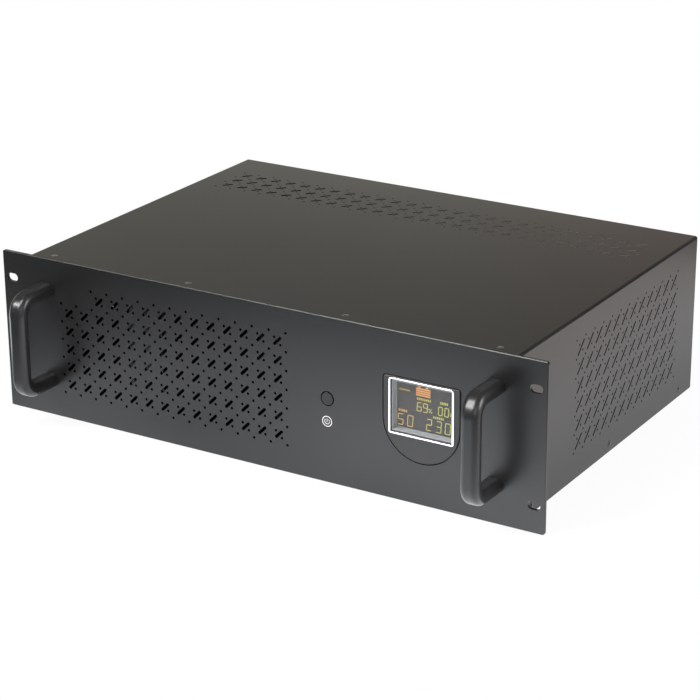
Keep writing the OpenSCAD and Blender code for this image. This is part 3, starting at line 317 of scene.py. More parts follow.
# turned or drawn metal with fine tool lines along one direction
def drawnMetal(name, s):
    material, flow = startFinish(name)
    coords = objectCoords(flow)
    lines = speckle(flow, stretched(flow, coords, s["stretch"]), s["line"])
    tint = speckle(flow, coords, s["cloud"])
    colour = mixColour(flow, weighed(metalMix["tone"], lines, tint), s["dark"], s["light"])
    rough = s["rough"] + lines * metalMix["rough"]
    normal = bumped(flow, metalMix["bump"], metalMix["depth"], lines)
    endFinish(flow, {"Base Color": colour, "Roughness": rough, "Metallic": 1.0, "Normal": normal})
    return material


# period is the metres between the bands of a wave texture at a scale of 1
bandMix = {"period": 0.314, "waver": 0.4, "tone": (0.6, 0.4), "rough": 0.15, "bump": 0.4, "depth": 0.1 * mm}


# layered or wound material: bands of even pitch along one axis
def bandedMetal(name, s):
    material, flow = startFinish(name)
    coords = objectCoords(flow)
    wave = {"wave_type": "BANDS", "bands_direction": s["along"], "wave_profile": "SIN"}
    bands = flow.node("ShaderNodeTexWave", wave, {
        "Vector": coords, "Scale": bandMix["period"] / s["pitch"], "Distortion": bandMix["waver"]})
    tint = speckle(flow, coords, s["cloud"])
    colour = mixColour(flow, weighed(bandMix["tone"], bands, tint), s["dark"], s["light"])
    rough = s["rough"] + tint * bandMix["rough"]
    normal = bumped(flow, bandMix["bump"], bandMix["depth"], bands)
    endFinish(flow, {"Base Color": colour, "Roughness": rough, "Metallic": s["metal"], "Normal": normal})
    return material


# shares of tracks and tint in the board's tone
boardMix = {"gap": 0.06, "tone": (0.5, 0.5), "rough": 0.35, "roughSpan": 0.15,
            "bump": 0.2, "depth": 0.05 * mm}


# green solder mask over copper tracks
def circuitBoard(name, s):
    material, flow = startFinish(name)
    coords = objectCoords(flow)
    brick = flow.node("ShaderNodeTexBrick", None, {
        "Vector": coords, "Scale": 1 / s["track"], "Mortar Size": boardMix["gap"],
        "Color1": (0, 0, 0, 1), "Color2": (0.2, 0.2, 0.2, 1), "Mortar": (1, 1, 1, 1)}, 1)
    tint = speckle(flow, coords, s["cloud"])
    colour = mixColour(flow, weighed(boardMix["tone"], brick, tint), s["dark"], s["light"])
    rough = boardMix["rough"] + tint * boardMix["roughSpan"]
    normal = bumped(flow, boardMix["bump"], boardMix["depth"], brick)
    endFinish(flow, {"Base Color": colour, "Roughness": rough, "Normal": normal})
    return material


# clear window: seen through, with a thin wipe-mark haze
def clearWindow(name, s):
    material, flow = startFinish(name)
    coords = objectCoords(flow)
    wipe = speckle(flow, stretched(flow, coords, s["stretch"]), s["wipe"])
    endFinish(flow, {"Base Color": (*s["colour"], 1), "Roughness": s["rough"] + wipe * s["wipeRough"],
                     "Alpha": s["alpha"] + wipe * s["wipeAlpha"], "Specular IOR Level": s["shine"]})
    return material


# display face: dark glass with a pale border that follows the cell's edge
def displayFace(name, s):
    material, flow = startFinish(name)
    coords = objectCoords(flow)
    low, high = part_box("lcd_panel")
    middle = (low + high) / 2
    across = flow.maths("ABSOLUTE", along(flow, coords, 0) - middle.x)
    upward = flow.maths("ABSOLUTE", along(flow, coords, 2) - middle.z)
    border = flow.maths("MAXIMUM", across > s["halfWidth"], upward > s["halfHeight"])
    cloud = speckle(flow, coords, s["cloud"])
    colour = mixColour(flow, border, mixColour(flow, cloud, s["dark"], s["light"]), s["border"])
    rough = s["rough"] + border * s["borderRough"]
    endFinish(flow, {"Base Color": colour, "Roughness": rough, "Specular IOR Level": s["shine"]})
    return material


# shares of the place across the display and of cloud in the figures' hue, and where the hue starts
figureMix = {"hue": (1.2, 0.8), "start": 0.4, "unlit": (0.02, 0.015, 0.01), "rough": 0.5}


# lit figures: one hue at the left of the display, and another towards its right
def litFigures(name, s):
    material, flow = startFinish(name)
    coords = objectCoords(flow)
    cloud = speckle(flow, coords, s["cloud"])
    low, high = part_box("lcd_panel")
    across = (along(flow, coords, 0) - low.x) * (1 / (high.x - low.x))
    share = clamped(flow, weighed(figureMix["hue"], across, cloud) - figureMix["start"])
    colour = mixColour(flow, share, s["left"], s["right"])
    endFinish(flow, {"Base Color": (*figureMix["unlit"], 1), "Roughness": figureMix["rough"],
                     "Emission Color": colour, "Emission Strength": s["glow"]})
    return material


# silk-screen ink, a little uneven
def printedInk(name, s):
    material, flow = startFinish(name)
    cloud = speckle(flow, objectCoords(flow), s["cloud"])
    colour = mixColour(flow, cloud, s["dark"], s["light"])
    endFinish(flow, {"Base Color": colour, "Roughness": s["rough"] + cloud * s["roughSpan"]})
    return material


# finishes of the record's slots
# the coat's pale wall colour is painted light on the walls of the top's vents
coatSet = {"dark": (0.006, 0.006, 0.0063), "light": (0.01, 0.01, 0.0104), "bare": (0.15, 0.14, 0.13),
           "rough": 0.24, "shine": 0.6, "grain": 0.5 * mm, "peel": 3 * mm, "cloud": 90 * mm,
           "bump": 0.12, "depth": 0.08 * mm}
finishes = {
    "black_coat": powderCoat("blackCoat", coatSet),
    "handle_coat": powderCoat("handleCoat", {
        "dark": (0.012, 0.012, 0.013), "light": (0.018, 0.018, 0.019), "rough": 0.21, "shine": 0.5,
        "grain": 0.35 * mm, "peel": 2 * mm, "cloud": 30 * mm, "bump": 0.08, "depth": 0.05 * mm}),
    "black_screw": drawnMetal("blackScrew", {
        "dark": (0.035, 0.035, 0.035), "light": (0.06, 0.06, 0.06), "rough": 0.14, "stretch": (1, 1, 1),
        "line": 0.3 * mm, "cloud": 3 * mm}),
    "zinc_sheet": platedSheet("zincSheet", {
        "dark": (0.5, 0.51, 0.52), "light": (0.72, 0.73, 0.73), "rough": 0.35,
        "spangle": 9 * mm, "line": 0.6 * mm}),
    "bright_steel": drawnMetal("brightSteel", {
        "dark": (0.55, 0.55, 0.56), "light": (0.78, 0.78, 0.78), "rough": 0.22, "stretch": (1, 0.15, 1),
        "line": 0.25 * mm, "cloud": 4 * mm}),
    "bare_aluminium": drawnMetal("bareAluminium", {
        "dark": (0.55, 0.56, 0.57), "light": (0.76, 0.77, 0.78), "rough": 0.35, "stretch": (1, 1, 0.03),
        "line": 0.4 * mm, "cloud": 20 * mm}),
    "brass_posts": drawnMetal("brassPosts", {
        "dark": (0.55, 0.38, 0.14), "light": (0.78, 0.6, 0.28), "rough": 0.25, "stretch": (0.1, 1, 1),
        "line": 0.3 * mm, "cloud": 4 * mm}),
    "core_steel": bandedMetal("coreSteel", {
        "dark": (0.1, 0.1, 0.1), "light": (0.3, 0.29, 0.28), "rough": 0.4, "along": "Y", "pitch": 0.5 * mm,
        "cloud": 15 * mm, "metal": 0.8}),
    "coil_copper": bandedMetal("coilCopper", {
        "dark": (0.05, 0.025, 0.014), "light": (0.12, 0.06, 0.03), "rough": 0.4, "along": "Z",
        "pitch": 1.2 * mm, "cloud": 12 * mm, "metal": 0.7}),
    "bezel_plastic": mouldedPlastic("bezelPlastic", {
        "dark": (0.021, 0.0205, 0.0205), "light": (0.031, 0.0305, 0.03), "rough": 0.38, "grain": 0.3 * mm,
        "cloud": 25 * mm, "bump": 0.1, "depth": 0.04 * mm}),
    "button_plastic": mouldedPlastic("buttonPlastic", {
        "dark": (0.009, 0.009, 0.01), "light": (0.015, 0.015, 0.016), "rough": 0.4, "grain": 0.25 * mm,
        "cloud": 6 * mm, "bump": 0.08, "depth": 0.03 * mm}, buttonShadedWalls),
    "black_plastic": mouldedPlastic("blackPlastic", {
        "dark": (0.014, 0.014, 0.015), "light": (0.026, 0.026, 0.027), "rough": 0.4, "grain": 0.4 * mm,
        "cloud": 20 * mm, "bump": 0.15, "depth": 0.05 * mm}),
    "battery_case": mouldedPlastic("batteryCase", {
        "dark": (0.02, 0.021, 0.023), "light": (0.034, 0.035, 0.038), "rough": 0.5, "grain": 0.8 * mm,
        "cloud": 40 * mm, "bump": 0.2, "depth": 0.08 * mm}),
    "pale_plastic": mouldedPlastic("palePlastic", {
        "dark": (0.3, 0.32, 0.33), "light": (0.4, 0.42, 0.43), "rough": 0.45, "grain": 0.3 * mm,
        "cloud": 15 * mm, "bump": 0.06, "depth": 0.03 * mm}),
    "pale_port": mouldedPlastic("palePort", {
        "dark": (0.72, 0.72, 0.7), "light": (0.82, 0.82, 0.8), "rough": 0.4, "grain": 0.3 * mm,
        "cloud": 6 * mm, "bump": 0.06, "depth": 0.03 * mm}),
    "silver_trim": drawnMetal("silverTrim", {
        "dark": (0.86, 0.86, 0.87), "light": (0.94, 0.94, 0.94), "rough": 0.12, "stretch": (1, 1, 1),
        "line": 0.3 * mm, "cloud": 12 * mm}),
    "red_plastic": mouldedPlastic("redPlastic", {
        "dark": (0.4, 0.02, 0.015), "light": (0.55, 0.04, 0.03), "rough": 0.25, "grain": 0.3 * mm,
        "cloud": 4 * mm, "bump": 0.04, "depth": 0.02 * mm}),
    "red_lead": mouldedPlastic("redLead", {
        "dark": (0.38, 0.02, 0.02), "light": (0.52, 0.04, 0.03), "rough": 0.4, "grain": 0.6 * mm,
        "cloud": 10 * mm, "bump": 0.05, "depth": 0.03 * mm}),
    "black_lead": mouldedPlastic("blackLead", {
        "dark": (0.015, 0.015, 0.015), "light": (0.03, 0.03, 0.03), "rough": 0.4, "grain": 0.6 * mm,
        "cloud": 10 * mm, "bump": 0.05, "depth": 0.03 * mm}),
    "can_sleeve": mouldedPlastic("canSleeve", {
        "dark": (0.006, 0.01, 0.026), "light": (0.012, 0.02, 0.045), "rough": 0.35, "grain": 0.5 * mm,
        "cloud": 8 * mm, "bump": 0.03, "depth": 0.02 * mm}),
    "circuit_board": circuitBoard("circuitBoard", {
        "dark": (0.008, 0.04, 0.016), "light": (0.03, 0.12, 0.05), "track": 6 * mm, "cloud": 10 * mm}),
    "clear_lens": clearWindow("clearLens", {
        "colour": (0.5, 0.5, 0.48), "rough": 0.12, "alpha": 0.05, "shine": 0.5, "wipe": 9 * mm,
        "stretch": (1, 1, 0.3), "wipeRough": 0.06, "wipeAlpha": 0.02}),
    "lcd_face": displayFace("lcdFace", {
        "dark": (0.024, 0.024, 0.026), "light": (0.031, 0.031, 0.033), "border": (0.3, 0.34, 0.37),
        "halfWidth": 23.6 * mm, "halfHeight": 18.2 * mm, "cloud": 30 * mm, "rough": 0.3,
        "borderRough": 0.3, "shine": 0.15}),
}
amberFigures = litFigures("amberFigures", {
    "left": (1.0, 0.32, 0.07), "right": (1.0, 0.5, 0.1), "glow": 0.85, "cloud": 5 * mm})
yellowFigures = litFigures("yellowFigures", {
    "left": (0.9, 0.5, 0.14), "right": (0.75, 0.78, 0.12), "glow": 0.85, "cloud": 9 * mm})
# painted glints: a brighter copy of the screw metal for the top screws
paintedGlintScrew = drawnMetal("paintedGlintScrew", {
    "dark": (0.19, 0.19, 0.19), "light": (0.34, 0.34, 0.34), "rough": 0.2, "stretch": (1, 1, 1),
    "line": 0.3 * mm, "cloud": 3 * mm})
whiteInk = printedInk("whiteInk", {
    "dark": (0.75, 0.75, 0.75), "light": (0.88, 0.88, 0.88), "cloud": 1.5 * mm,
    "rough": 0.5, "roughSpan": 0.1})
goldPlate = drawnMetal("goldPlate", {
    "dark": (0.75, 0.52, 0.2), "light": (0.95, 0.74, 0.36), "rough": 0.2, "stretch": (1, 0.2, 1),
    "line": 0.2 * mm, "cloud": 2 * mm})
# nodes with a finish of their own: the panel's and cover's coats with painted shade and light in their cut
# walls, and the rear heat sink's darker aluminium
special = {"front_panel": powderCoat("panelCoat", coatSet, panelCuts),
           "top_cover": powderCoat("coverCoat", coatSet, coverCuts),
           # painted shade: a darkened copy of the aluminium for the heat sink deep in the case
           "rear_heat_sink": drawnMetal("shadedAluminium", {
               "dark": (0.1, 0.1, 0.105), "light": (0.16, 0.16, 0.165), "rough": 0.5, "stretch": (1, 1, 0.03),
               "line": 0.4 * mm, "cloud": 20 * mm})}
for part in frame["record"]["subparts"]:
    mesh = frame["nodes"][part["node"]].data
    mesh.materials.clear()
    mesh.materials.append(special.get(part["node"], finishes[part["material_slot"]]))
print("finishes made,", len(finishes), "slots")


def clearSelection():
    if bpy.context.mode != "OBJECT":
        bpy.ops.object.mode_set(mode="OBJECT")
    bpy.ops.object.select_all(action="DESELECT")


def makeActive(obj):
    clearSelection()
    obj.select_set(True)
    bpy.context.view_layer.objects.active = obj


def settle(obj):
    makeActive(obj)
    bpy.ops.object.transform_apply(location=True, rotation=True, scale=True)


# edit mode with only the faces that pass the test selected
def pickFaces(obj, test):
    makeActive(obj)
    bpy.ops.object.mode_set(mode="EDIT")
    bpy.ops.mesh.select_mode(type="FACE")
    bpy.ops.mesh.select_all(action="DESELECT")
    bpy.ops.object.mode_set(mode="OBJECT")
    for face in obj.data.polygons:
        face.select = bool(test(face))
    bpy.ops.object.mode_set(mode="EDIT")


# the same for edges; the test gets the two ends
def pickEdges(obj, test):
    makeActive(obj)
    bpy.ops.object.mode_set(mode="EDIT")
    bpy.ops.mesh.select_mode(type="EDGE")
    bpy.ops.mesh.select_all(action="DESELECT")
    bpy.ops.object.mode_set(mode="OBJECT")
    points = obj.data.vertices
    for edge in obj.data.edges:
        first, second = (points[i].co for i in edge.vertices)
        edge.select = bool(test(first, second))
    bpy.ops.object.mode_set(mode="EDIT")


# merges doubled points, turns the normals outward and goes back to object mode
def endEdit():
    bpy.ops.mesh.select_all(action="SELECT")
    bpy.ops.mesh.remove_doubles(threshold=0.05 * hair)
    bpy.ops.mesh.normals_make_consistent(inside=False)
    bpy.ops.object.mode_set(mode="OBJECT")


def grow(x, y, z):
    bpy.ops.mesh.extrude_region_move(TRANSFORM_OT_translate={"value": (x, y, z)})


def applied(obj, modifier):
    makeActive(obj)
    bpy.ops.object.modifier_apply(modifier=modifier.name)


def cutWith(obj, cutter):
    cut = obj.modifiers.new("cut", "BOOLEAN")
    cut.operation = "DIFFERENCE"
    cut.solver = "EXACT"
    cut.object = cutter
    applied(obj, cut)
    bpy.data.objects.remove(cutter)


def copyAt(obj, place):
    twin = obj.copy()
    twin.data = obj.data.copy()
    twin.data.transform(place)
    bpy.context.scene.collection.objects.link(twin)
    return twin


def joined(parts, name):
    makeActive(parts[0])
    for part in parts:
        part.select_set(True)
    if len(parts) > 1:
        bpy.ops.object.join()
    whole = bpy.context.view_layer.objects.active
    whole.name = name
    return whole


def smooth(obj, degrees=35):
    makeActive(obj)
    bpy.ops.object.shade_smooth_by_angle(angle=math.radians(degrees))


def dress(obj, body, finish, nodes=()):
    obj.data.materials.clear()
    obj.data.materials.append(finish)
    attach(obj, body)
    if nodes:
        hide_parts(*nodes)
    print("piece", obj.name, len(obj.data.polygons), "faces")


# a screw with a cross recess; its head's face is at the origin and it runs down -Z
def crossScrew(s):
    clearSelection()
    bpy.ops.mesh.primitive_cylinder_add(vertices=32, radius=s["head"] / 2, depth=s["height"],
                                        location=(0, 0, -s["height"] / 2))
    screw = bpy.context.object
    settle(screw)
    pickFaces(screw, lambda f: f.normal.z < -flat)
    if s["flush"]:
        k = s["shank"] / s["head"]
        bpy.ops.transform.resize(value=(k, k, 1), center_override=(0, 0, -s["height"]))
    else:
        bpy.ops.mesh.inset(thickness=(s["head"] - s["shank"]) / 2)
    grow(0, 0, s["height"] - s["length"])
    pickEdges(screw, lambda a, b: min(a.z, b.z) > -hair)
    bpy.ops.mesh.bevel(offset=s["edge"], segments=s["steps"])
    endEdit()
    for turn in (0, math.pi / 2):
        clearSelection()
        bpy.ops.mesh.primitive_cube_add(size=1, rotation=(0, 0, turn))
        blade = bpy.context.object
        blade.scale = (s["cross"], s["slot"], 2 * s["sunk"])
        settle(blade)
        pickFaces(blade, lambda f: f.normal.z < -flat)
        bpy.ops.transform.resize(value=(s["taper"], s["taper"], 1), center_override=(0, 0, -s["sunk"]))
        endEdit()
        cutWith(screw, blade)
    smooth(screw)
    return screw


def placedScrews(s, name, places):
    screw = crossScrew(s)
    parts = [copyAt(screw, place) for place in places]
    bpy.data.objects.remove(screw)
    return joined(parts, name)


def tipTowards(direction, place, spin):
    turn = Vector((0, 0, 1)).rotation_difference(Vector(direction)).to_matrix().to_4x4()
    return Matrix.Translation(place) @ turn @ Matrix.Rotation(spin, 4, "Z")


coverScrewSet = {"head": 5.8 * mm, "height": 1.0 * mm, "shank": 3.0 * mm, "length": 4.8 * mm, "flush": True,
                 "edge": 0.12 * mm, "steps": 2, "cross": 3.4 * mm, "slot": 0.8 * mm, "sunk": 0.75 * mm,
                 "taper": 0.45, "topX": (-198, -70, 70, 198), "topY": 11, "topTurn": 0.4,
                 "sideY": (27, 157, 287), "sideZ": 7.4}


def addCoverScrews(s):
    tops = [tipTowards((0, 0, 1), (x * mm, panelFace + s["topY"] * mm, coverTop), s["topTurn"] + x)
            for x in s["topX"]]
    sides = [tipTowards((k, 0, 0), (k * coverSide, panelFace + y * mm, s["sideZ"] * mm), y)
             for k in (-1, 1) for y in s["sideY"]]
    # the top screws get the brighter metal of painted glints
    dress(placedScrews(s, "coverTopScrews", tops), "case", paintedGlintScrew, ["cover_top_screws"])
    dress(placedScrews(s, "coverSideScrews", sides), "case", finishes["black_screw"],
          ["cover_side_screws"])


addCoverScrews(coverScrewSet)

fanScrewSet = {"head": 6.0 * mm, "height": 2.0 * mm, "shank": 3.0 * mm, "length": 27 * mm, "flush": False,
               "edge": 0.9 * mm, "steps": 5, "cross": 3.3 * mm, "slot": 0.85 * mm, "sunk": 1.1 * mm,
               "taper": 0.45, "pitch": 71.5 * mm}


def addFanScrews(s):
    low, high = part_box("fan_screws")
    middle = (low + high) / 2
    half = s["pitch"] / 2
    places = [tipTowards((0, 1, 0), (middle.x + i * half, high.y, middle.z + k * half), i + 2 * k)
              for i in (-1, 1) for k in (-1, 1)]
    screws = placedScrews(s, "fanScrews", places)
    dress(screws, "case", finishes["bright_steel"], ["fan_screws"])


addFanScrews(fanScrewSet)

# silver frame round the display window, its edges rolled over
trimSet = {"corner": 2.0 * mm, "rim": 1.1 * mm, "sideRim": 1.6 * mm, "roll": 0.3 * mm, "sharp": 60}


def addTrim(s):
    low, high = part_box("display_trim")
    middle = (low + high) / 2
    wide = high.x - low.x
    clearSelection()
    bpy.ops.mesh.primitive_plane_add(size=1, location=(middle.x, high.y, middle.z),
                                     rotation=(math.pi / 2, 0, 0))
    trim = bpy.context.object
    trim.scale = (wide, high.z - low.z, 1)
    settle(trim)
    pickFaces(trim, lambda f: True)
    bpy.ops.mesh.bevel(offset=s["corner"], segments=8, affect="VERTICES")
    bpy.ops.mesh.inset(thickness=s["rim"])
    k = (wide - 2 * s["sideRim"]) / (wide - 2 * s["rim"])
    bpy.ops.transform.resize(value=(k, 1, 1), center_override=middle)
    bpy.ops.mesh.delete(type="FACE")
    bpy.ops.mesh.select_all(action="SELECT")
    grow(0, low.y - high.y, 0)
    endEdit()
    roll = trim.modifiers.new("roll", "BEVEL")
    roll.width = s["roll"]
    roll.segments = 4
    roll.limit_method = "ANGLE"
    roll.angle_limit = math.radians(s["sharp"])
    applied(trim, roll)
    smooth(trim)
    trim.name = "displayTrim"
    dress(trim, "case", finishes["silver_trim"], ["display_trim"])


addTrim(trimSet)

# lit figures on the display: seven-bar numerals, unit signs, a charge block and plain caption marks
figureSet = {"lift": 0.03 * mm, "depth": 0.06 * mm, "slant": 0.06, "thick": 0.55 * mm, "barGap": 0.25,
             "numbers": [("6", 135.6, 74.8, 3.4, 6.6), ("9", 140.6, 74.8, 3.4, 6.6),
                         ("0", 153.1, 74.9, 3.1, 6.5), ("0", 158.2, 74.9, 3.1, 6.5),
                         ("5", 120.0, 62.1, 4.3, 8.4), ("0", 128.1, 62.1, 4.3, 8.4),
                         ("2", 143.8, 62.3, 4.0, 8.7), ("3", 151.8, 62.3, 4.0, 8.7),
                         ("0", 159.3, 62.3, 4.0, 8.4)],
             "units": [(144.8, 73.4, 1.45), (161.9, 73.8, 1.1)],
             "stroke": 2.6 * mm, "strokeThick": 0.45 * mm, "strokeTilt": -58,
             "unitDot": 0.8 * mm, "unitOff": 0.75,
             "captionFill": 0.6,
             "captions": [(139.4, 81.0, 12.0, 8, 1.9), (156.1, 81.3, 6.8, 5, 1.9), (121.9, 69.2, 7.5, 5, 1.9),
                          (151.5, 69.1, 9.4, 6, 1.9), (123.3, 85.7, 9.2, 6, 1.5)]}
figureBars = {"0": "abcdef", "2": "abged", "3": "abgcd", "5": "afgcd", "6": "afgcde", "9": "abcdfg"}


barPoint = 0.42  # how far a bar's ends are cut to a point, as a share of its thickness


def figureBar(length, thick, depth):
    clearSelection()
    bpy.ops.mesh.primitive_cube_add(size=1)
    bar = bpy.context.object
    bar.scale = (length, depth, thick)
    settle(bar)
    pickEdges(bar, lambda a, b: abs(a.x - b.x) < 0.1 * hair and abs(a.z - b.z) < 0.1 * hair)
    bpy.ops.mesh.bevel(offset=thick * barPoint, segments=1)
    endEdit()
    return bar


def addFigures(s):
    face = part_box("lcd_panel")[0].y - s["lift"]
    lean = Matrix(((1, 0, s["slant"], 0), (0, 1, 0, 0), (0, 0, 1, 0), (0, 0, 0, 1)))
    parts = []

    def put(length, thick, matrix):
        bar = figureBar(length, thick, s["depth"])
        bar.data.transform(matrix)
        parts.append(bar)

    upright = Matrix.Rotation(math.pi / 2, 4, "Y")
    for sign, midX, midZ, wide, tall in s["numbers"]:
        w, h = wide * mm / 2, tall * mm / 2
        spots = {"a": (0, h, 0), "g": (0, 0, 0), "d": (0, -h, 0), "b": (w, h / 2, 1), "c": (w, -h / 2, 1),
                 "e": (-w, -h / 2, 1), "f": (-w, h / 2, 1)}
        home = Matrix.Translation((midX * mm, face, midZ * mm)) @ lean
        for bar in figureBars[sign]:
            x, z, standing = spots[bar]
            long = (h if standing else 2 * w) - s["thick"] * s["barGap"]
            put(long, s["thick"], home @ Matrix.Translation((x, 0, z)) @ (upright if standing else Matrix()))
    for x, z, k in s["units"]:
        home = Matrix.Translation((x * mm, face, z * mm))
        put(s["stroke"] * k, s["strokeThick"], home @ Matrix.Rotation(math.radians(s["strokeTilt"]), 4, "Y"))
        dot = s["unitDot"] * k
        for side in (-s["unitOff"], s["unitOff"]):
            put(dot, dot, home @ Matrix.Translation((-side * k * mm, 0, side * k * mm)))
    for x, z, wide, count, tall in s["captions"]:
        step = wide / count
        for i in range(count):
            home = Matrix.Translation(((x + (i - (count - 1) / 2) * step) * mm, face, z * mm))
            put(step * s["captionFill"] * mm, tall * mm, home)
    dress(joined(parts, "displayFigures"), "case", yellowFigures)


addFigures(figureSet)

# charge block: bars with fine grooves between them, and two marks on top
chargeSet = {"middle": (138.8, 86.4), "wide": 12.2 * mm, "tall": 6.6 * mm, "lines": 4, "groove": 0.6 * mm,
             "ears": (-3.1, 3.1), "ear": (2.4 * mm, 1.0 * mm), "earRise": 0.6 * mm}


def addCharge(s):
    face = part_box("lcd_panel")[0].y - figureSet["lift"]
    x, z = (v * mm for v in s["middle"])
    step = s["tall"] / s["lines"]
    bar = figureBar(s["wide"], step - s["groove"], figureSet["depth"])
    mark = figureBar(*s["ear"], figureSet["depth"])
    earZ = z + s["tall"] / 2 + s["earRise"]
    parts = [copyAt(bar, Matrix.Translation((x, face, z + (i - (s["lines"] - 1) / 2) * step)))
             for i in range(s["lines"])]
    parts += [copyAt(mark, Matrix.Translation((x + k * mm, face, earZ))) for k in s["ears"]]
    for spare in (bar, mark):
        bpy.data.objects.remove(spare)
    dress(joined(parts, "chargeBlock"), "case", amberFigures)


addCharge(chargeSet)

# printed power sign below the button
signSet = {"x": 60.3 * mm, "z": 49.4 * mm, "outer": 8.5 * mm, "line": 0.58 * mm, "inner": 4.6 * mm,
           "innerLine": 0.45 * mm, "gap": 42, "bar": 3.2 * mm, "barDrop": 0.45, "ink": 0.04 * mm}


def flatRing(radius, line, ink, gap=0):
    clearSelection()
    bpy.ops.mesh.primitive_circle_add(vertices=72, radius=radius, fill_type="NOTHING",
                                      rotation=(math.pi / 2, 0, 0))
    ring = bpy.context.object
    settle(ring)
    bpy.ops.object.mode_set(mode="EDIT")
    bpy.ops.mesh.select_all(action="SELECT")
    bpy.ops.mesh.extrude_edges_move(TRANSFORM_OT_translate={"value": (0, 0, 0)})
    k = (radius - line) / radius
    bpy.ops.transform.resize(value=(k, 1, k), center_override=(0, 0, 0))
    if gap:
        limit = math.radians(gap)
        pickFaces(ring, lambda f: abs(math.atan2(f.center.x, f.center.z)) < limit)
        bpy.ops.mesh.delete(type="FACE")
    bpy.ops.mesh.select_all(action="SELECT")
    grow(0, -ink, 0)
    endEdit()
    return ring


def addSign(s):
    ring = flatRing(s["outer"] / 2, s["line"], s["ink"])
    arc = flatRing(s["inner"] / 2, s["innerLine"], s["ink"], s["gap"])
    stroke = figureBar(s["bar"], s["innerLine"], s["ink"])
    stroke.data.transform(Matrix.Translation((0, -s["ink"] / 2, s["inner"] / 2 - s["barDrop"] * s["bar"]))
                          @ Matrix.Rotation(math.pi / 2, 4, "Y"))
    sign = joined([ring, arc, stroke], "powerSign")
    sign.data.transform(Matrix.Translation((s["x"], panelFace, s["z"])))
    dress(sign, "case", whiteInk)


addSign(signSet)

# push button: soft rim, faint dish, retaining flange and stem
buttonSet = {"cap": 10.1 * mm, "round": 0.45 * mm, "rim": 0.9 * mm, "slope": 1.6 * mm, "dish": 0.22 * mm,
             "flange": 13.5 * mm, "flangeAt": 2.8 * mm, "flangeThick": 1.5 * mm, "stem": 5.0 * mm}


def addButton(s):
    low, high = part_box("power_button")
    middle = (low + high) / 2
    clearSelection()
    front = s["flangeAt"] + (panelFace - low.y)
    bpy.ops.mesh.primitive_cylinder_add(vertices=64, radius=s["cap"] / 2, depth=front,
                                        location=(middle.x, low.y + front / 2, middle.z),
                                        rotation=(math.pi / 2, 0, 0))
    button = bpy.context.object
    settle(button)
    pickEdges(button, lambda a, b: max(a.y, b.y) < low.y + hair)
    bpy.ops.mesh.bevel(offset=s["round"], segments=5)
    pickFaces(button, lambda f: f.normal.y < -flat)
    bpy.ops.mesh.inset(thickness=s["rim"])
    bpy.ops.mesh.inset(thickness=s["slope"])
    bpy.ops.transform.translate(value=(0, s["dish"], 0))
    pickFaces(button, lambda f: f.normal.y > flat)
    at = Vector((middle.x, low.y + front, middle.z))
    k = s["flange"] / s["cap"]
    grow(0, 0, 0)
    bpy.ops.transform.resize(value=(k, 1, k), center_override=at)
    grow(0, s["flangeThick"], 0)
    bpy.ops.mesh.inset(thickness=(s["flange"] - s["stem"]) / 2)
    grow(0, high.y - at.y - s["flangeThick"], 0)
    endEdit()
    smooth(button)
    button.name = "powerButtonCap"
    dress(button, "button", finishes["button_plastic"], ["power_button"])


addButton(buttonSet)

# breaker: hex nut with turned-off corners, and the bush's thread
breakerSet = {"across": 14.4 * mm, "hole": 9.6 * mm, "cutter": 20 * mm, "chamfer": 0.5 * mm,
              "thread": 9.4 * mm, "pitch": 0.75 * mm, "tooth": 0.32 * mm, "sunk": 0.1 * mm,
              "start": 2.9 * mm, "turns": 3, "steps": 32}


def addBreaker(s):
    low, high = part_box("breaker_nut")
    middle = (low + high) / 2
    clearSelection()
    bpy.ops.mesh.primitive_cylinder_add(vertices=6, radius=s["across"] / 2, depth=high.y - low.y,
                                        location=middle, rotation=(math.pi / 2, 0, 0))
    nut = bpy.context.object
    settle(nut)
    pickEdges(nut, lambda a, b: min(a.y, b.y) > high.y - hair)
    bpy.ops.mesh.bevel(offset=s["chamfer"], segments=3)
    endEdit()
    clearSelection()
    bpy.ops.mesh.primitive_cylinder_add(vertices=48, radius=s["hole"] / 2, depth=s["cutter"],
                                        location=middle, rotation=(math.pi / 2, 0, 0))
    cutter = bpy.context.object
    settle(cutter)
    cutWith(nut, cutter)
    smooth(nut)
    nut.name = "breakerNut"
    dress(nut, "case", finishes["bright_steel"], ["breaker_nut"])
    clearSelection()
    bpy.ops.mesh.primitive_circle_add(vertices=3, radius=s["tooth"],
                                      location=(s["thread"] / 2 - s["sunk"], 0, 0),
                                      rotation=(math.pi / 2, math.pi / 2, 0))
    thread = bpy.context.object
    settle(thread)
    wind = thread.modifiers.new("wind", "SCREW")
    wind.axis = "Z"
    wind.screw_offset = s["pitch"]
    wind.iterations = s["turns"]
    wind.steps = wind.render_steps = s["steps"]
    applied(thread, wind)
    home = Matrix.Translation((middle.x, rearFace + s["start"], middle.z))
    thread.data.transform(home @ Matrix.Rotation(-math.pi / 2, 4, "X"))
    bpy.ops.object.mode_set(mode="EDIT")
    bpy.ops.mesh.select_all(action="SELECT")
    bpy.ops.mesh.fill_holes(sides=3)
    endEdit()
    smooth(thread, 60)
    thread.name = "breakerThread"
    dress(thread, "case", finishes["black_plastic"])


addBreaker(breakerSet)

# spring contacts in the twin network jack
contactSet = {"count": 8, "pitch": 1.02 * mm, "wire": 0.4 * mm, "root": 1.2 * mm,
              "slope": (4.8 * mm, -2.6 * mm), "tip": (2.0 * mm, 0.3 * mm),
              "half": 7.75 * mm, "inside": 11.3 * mm, "height": 3.4 * mm}


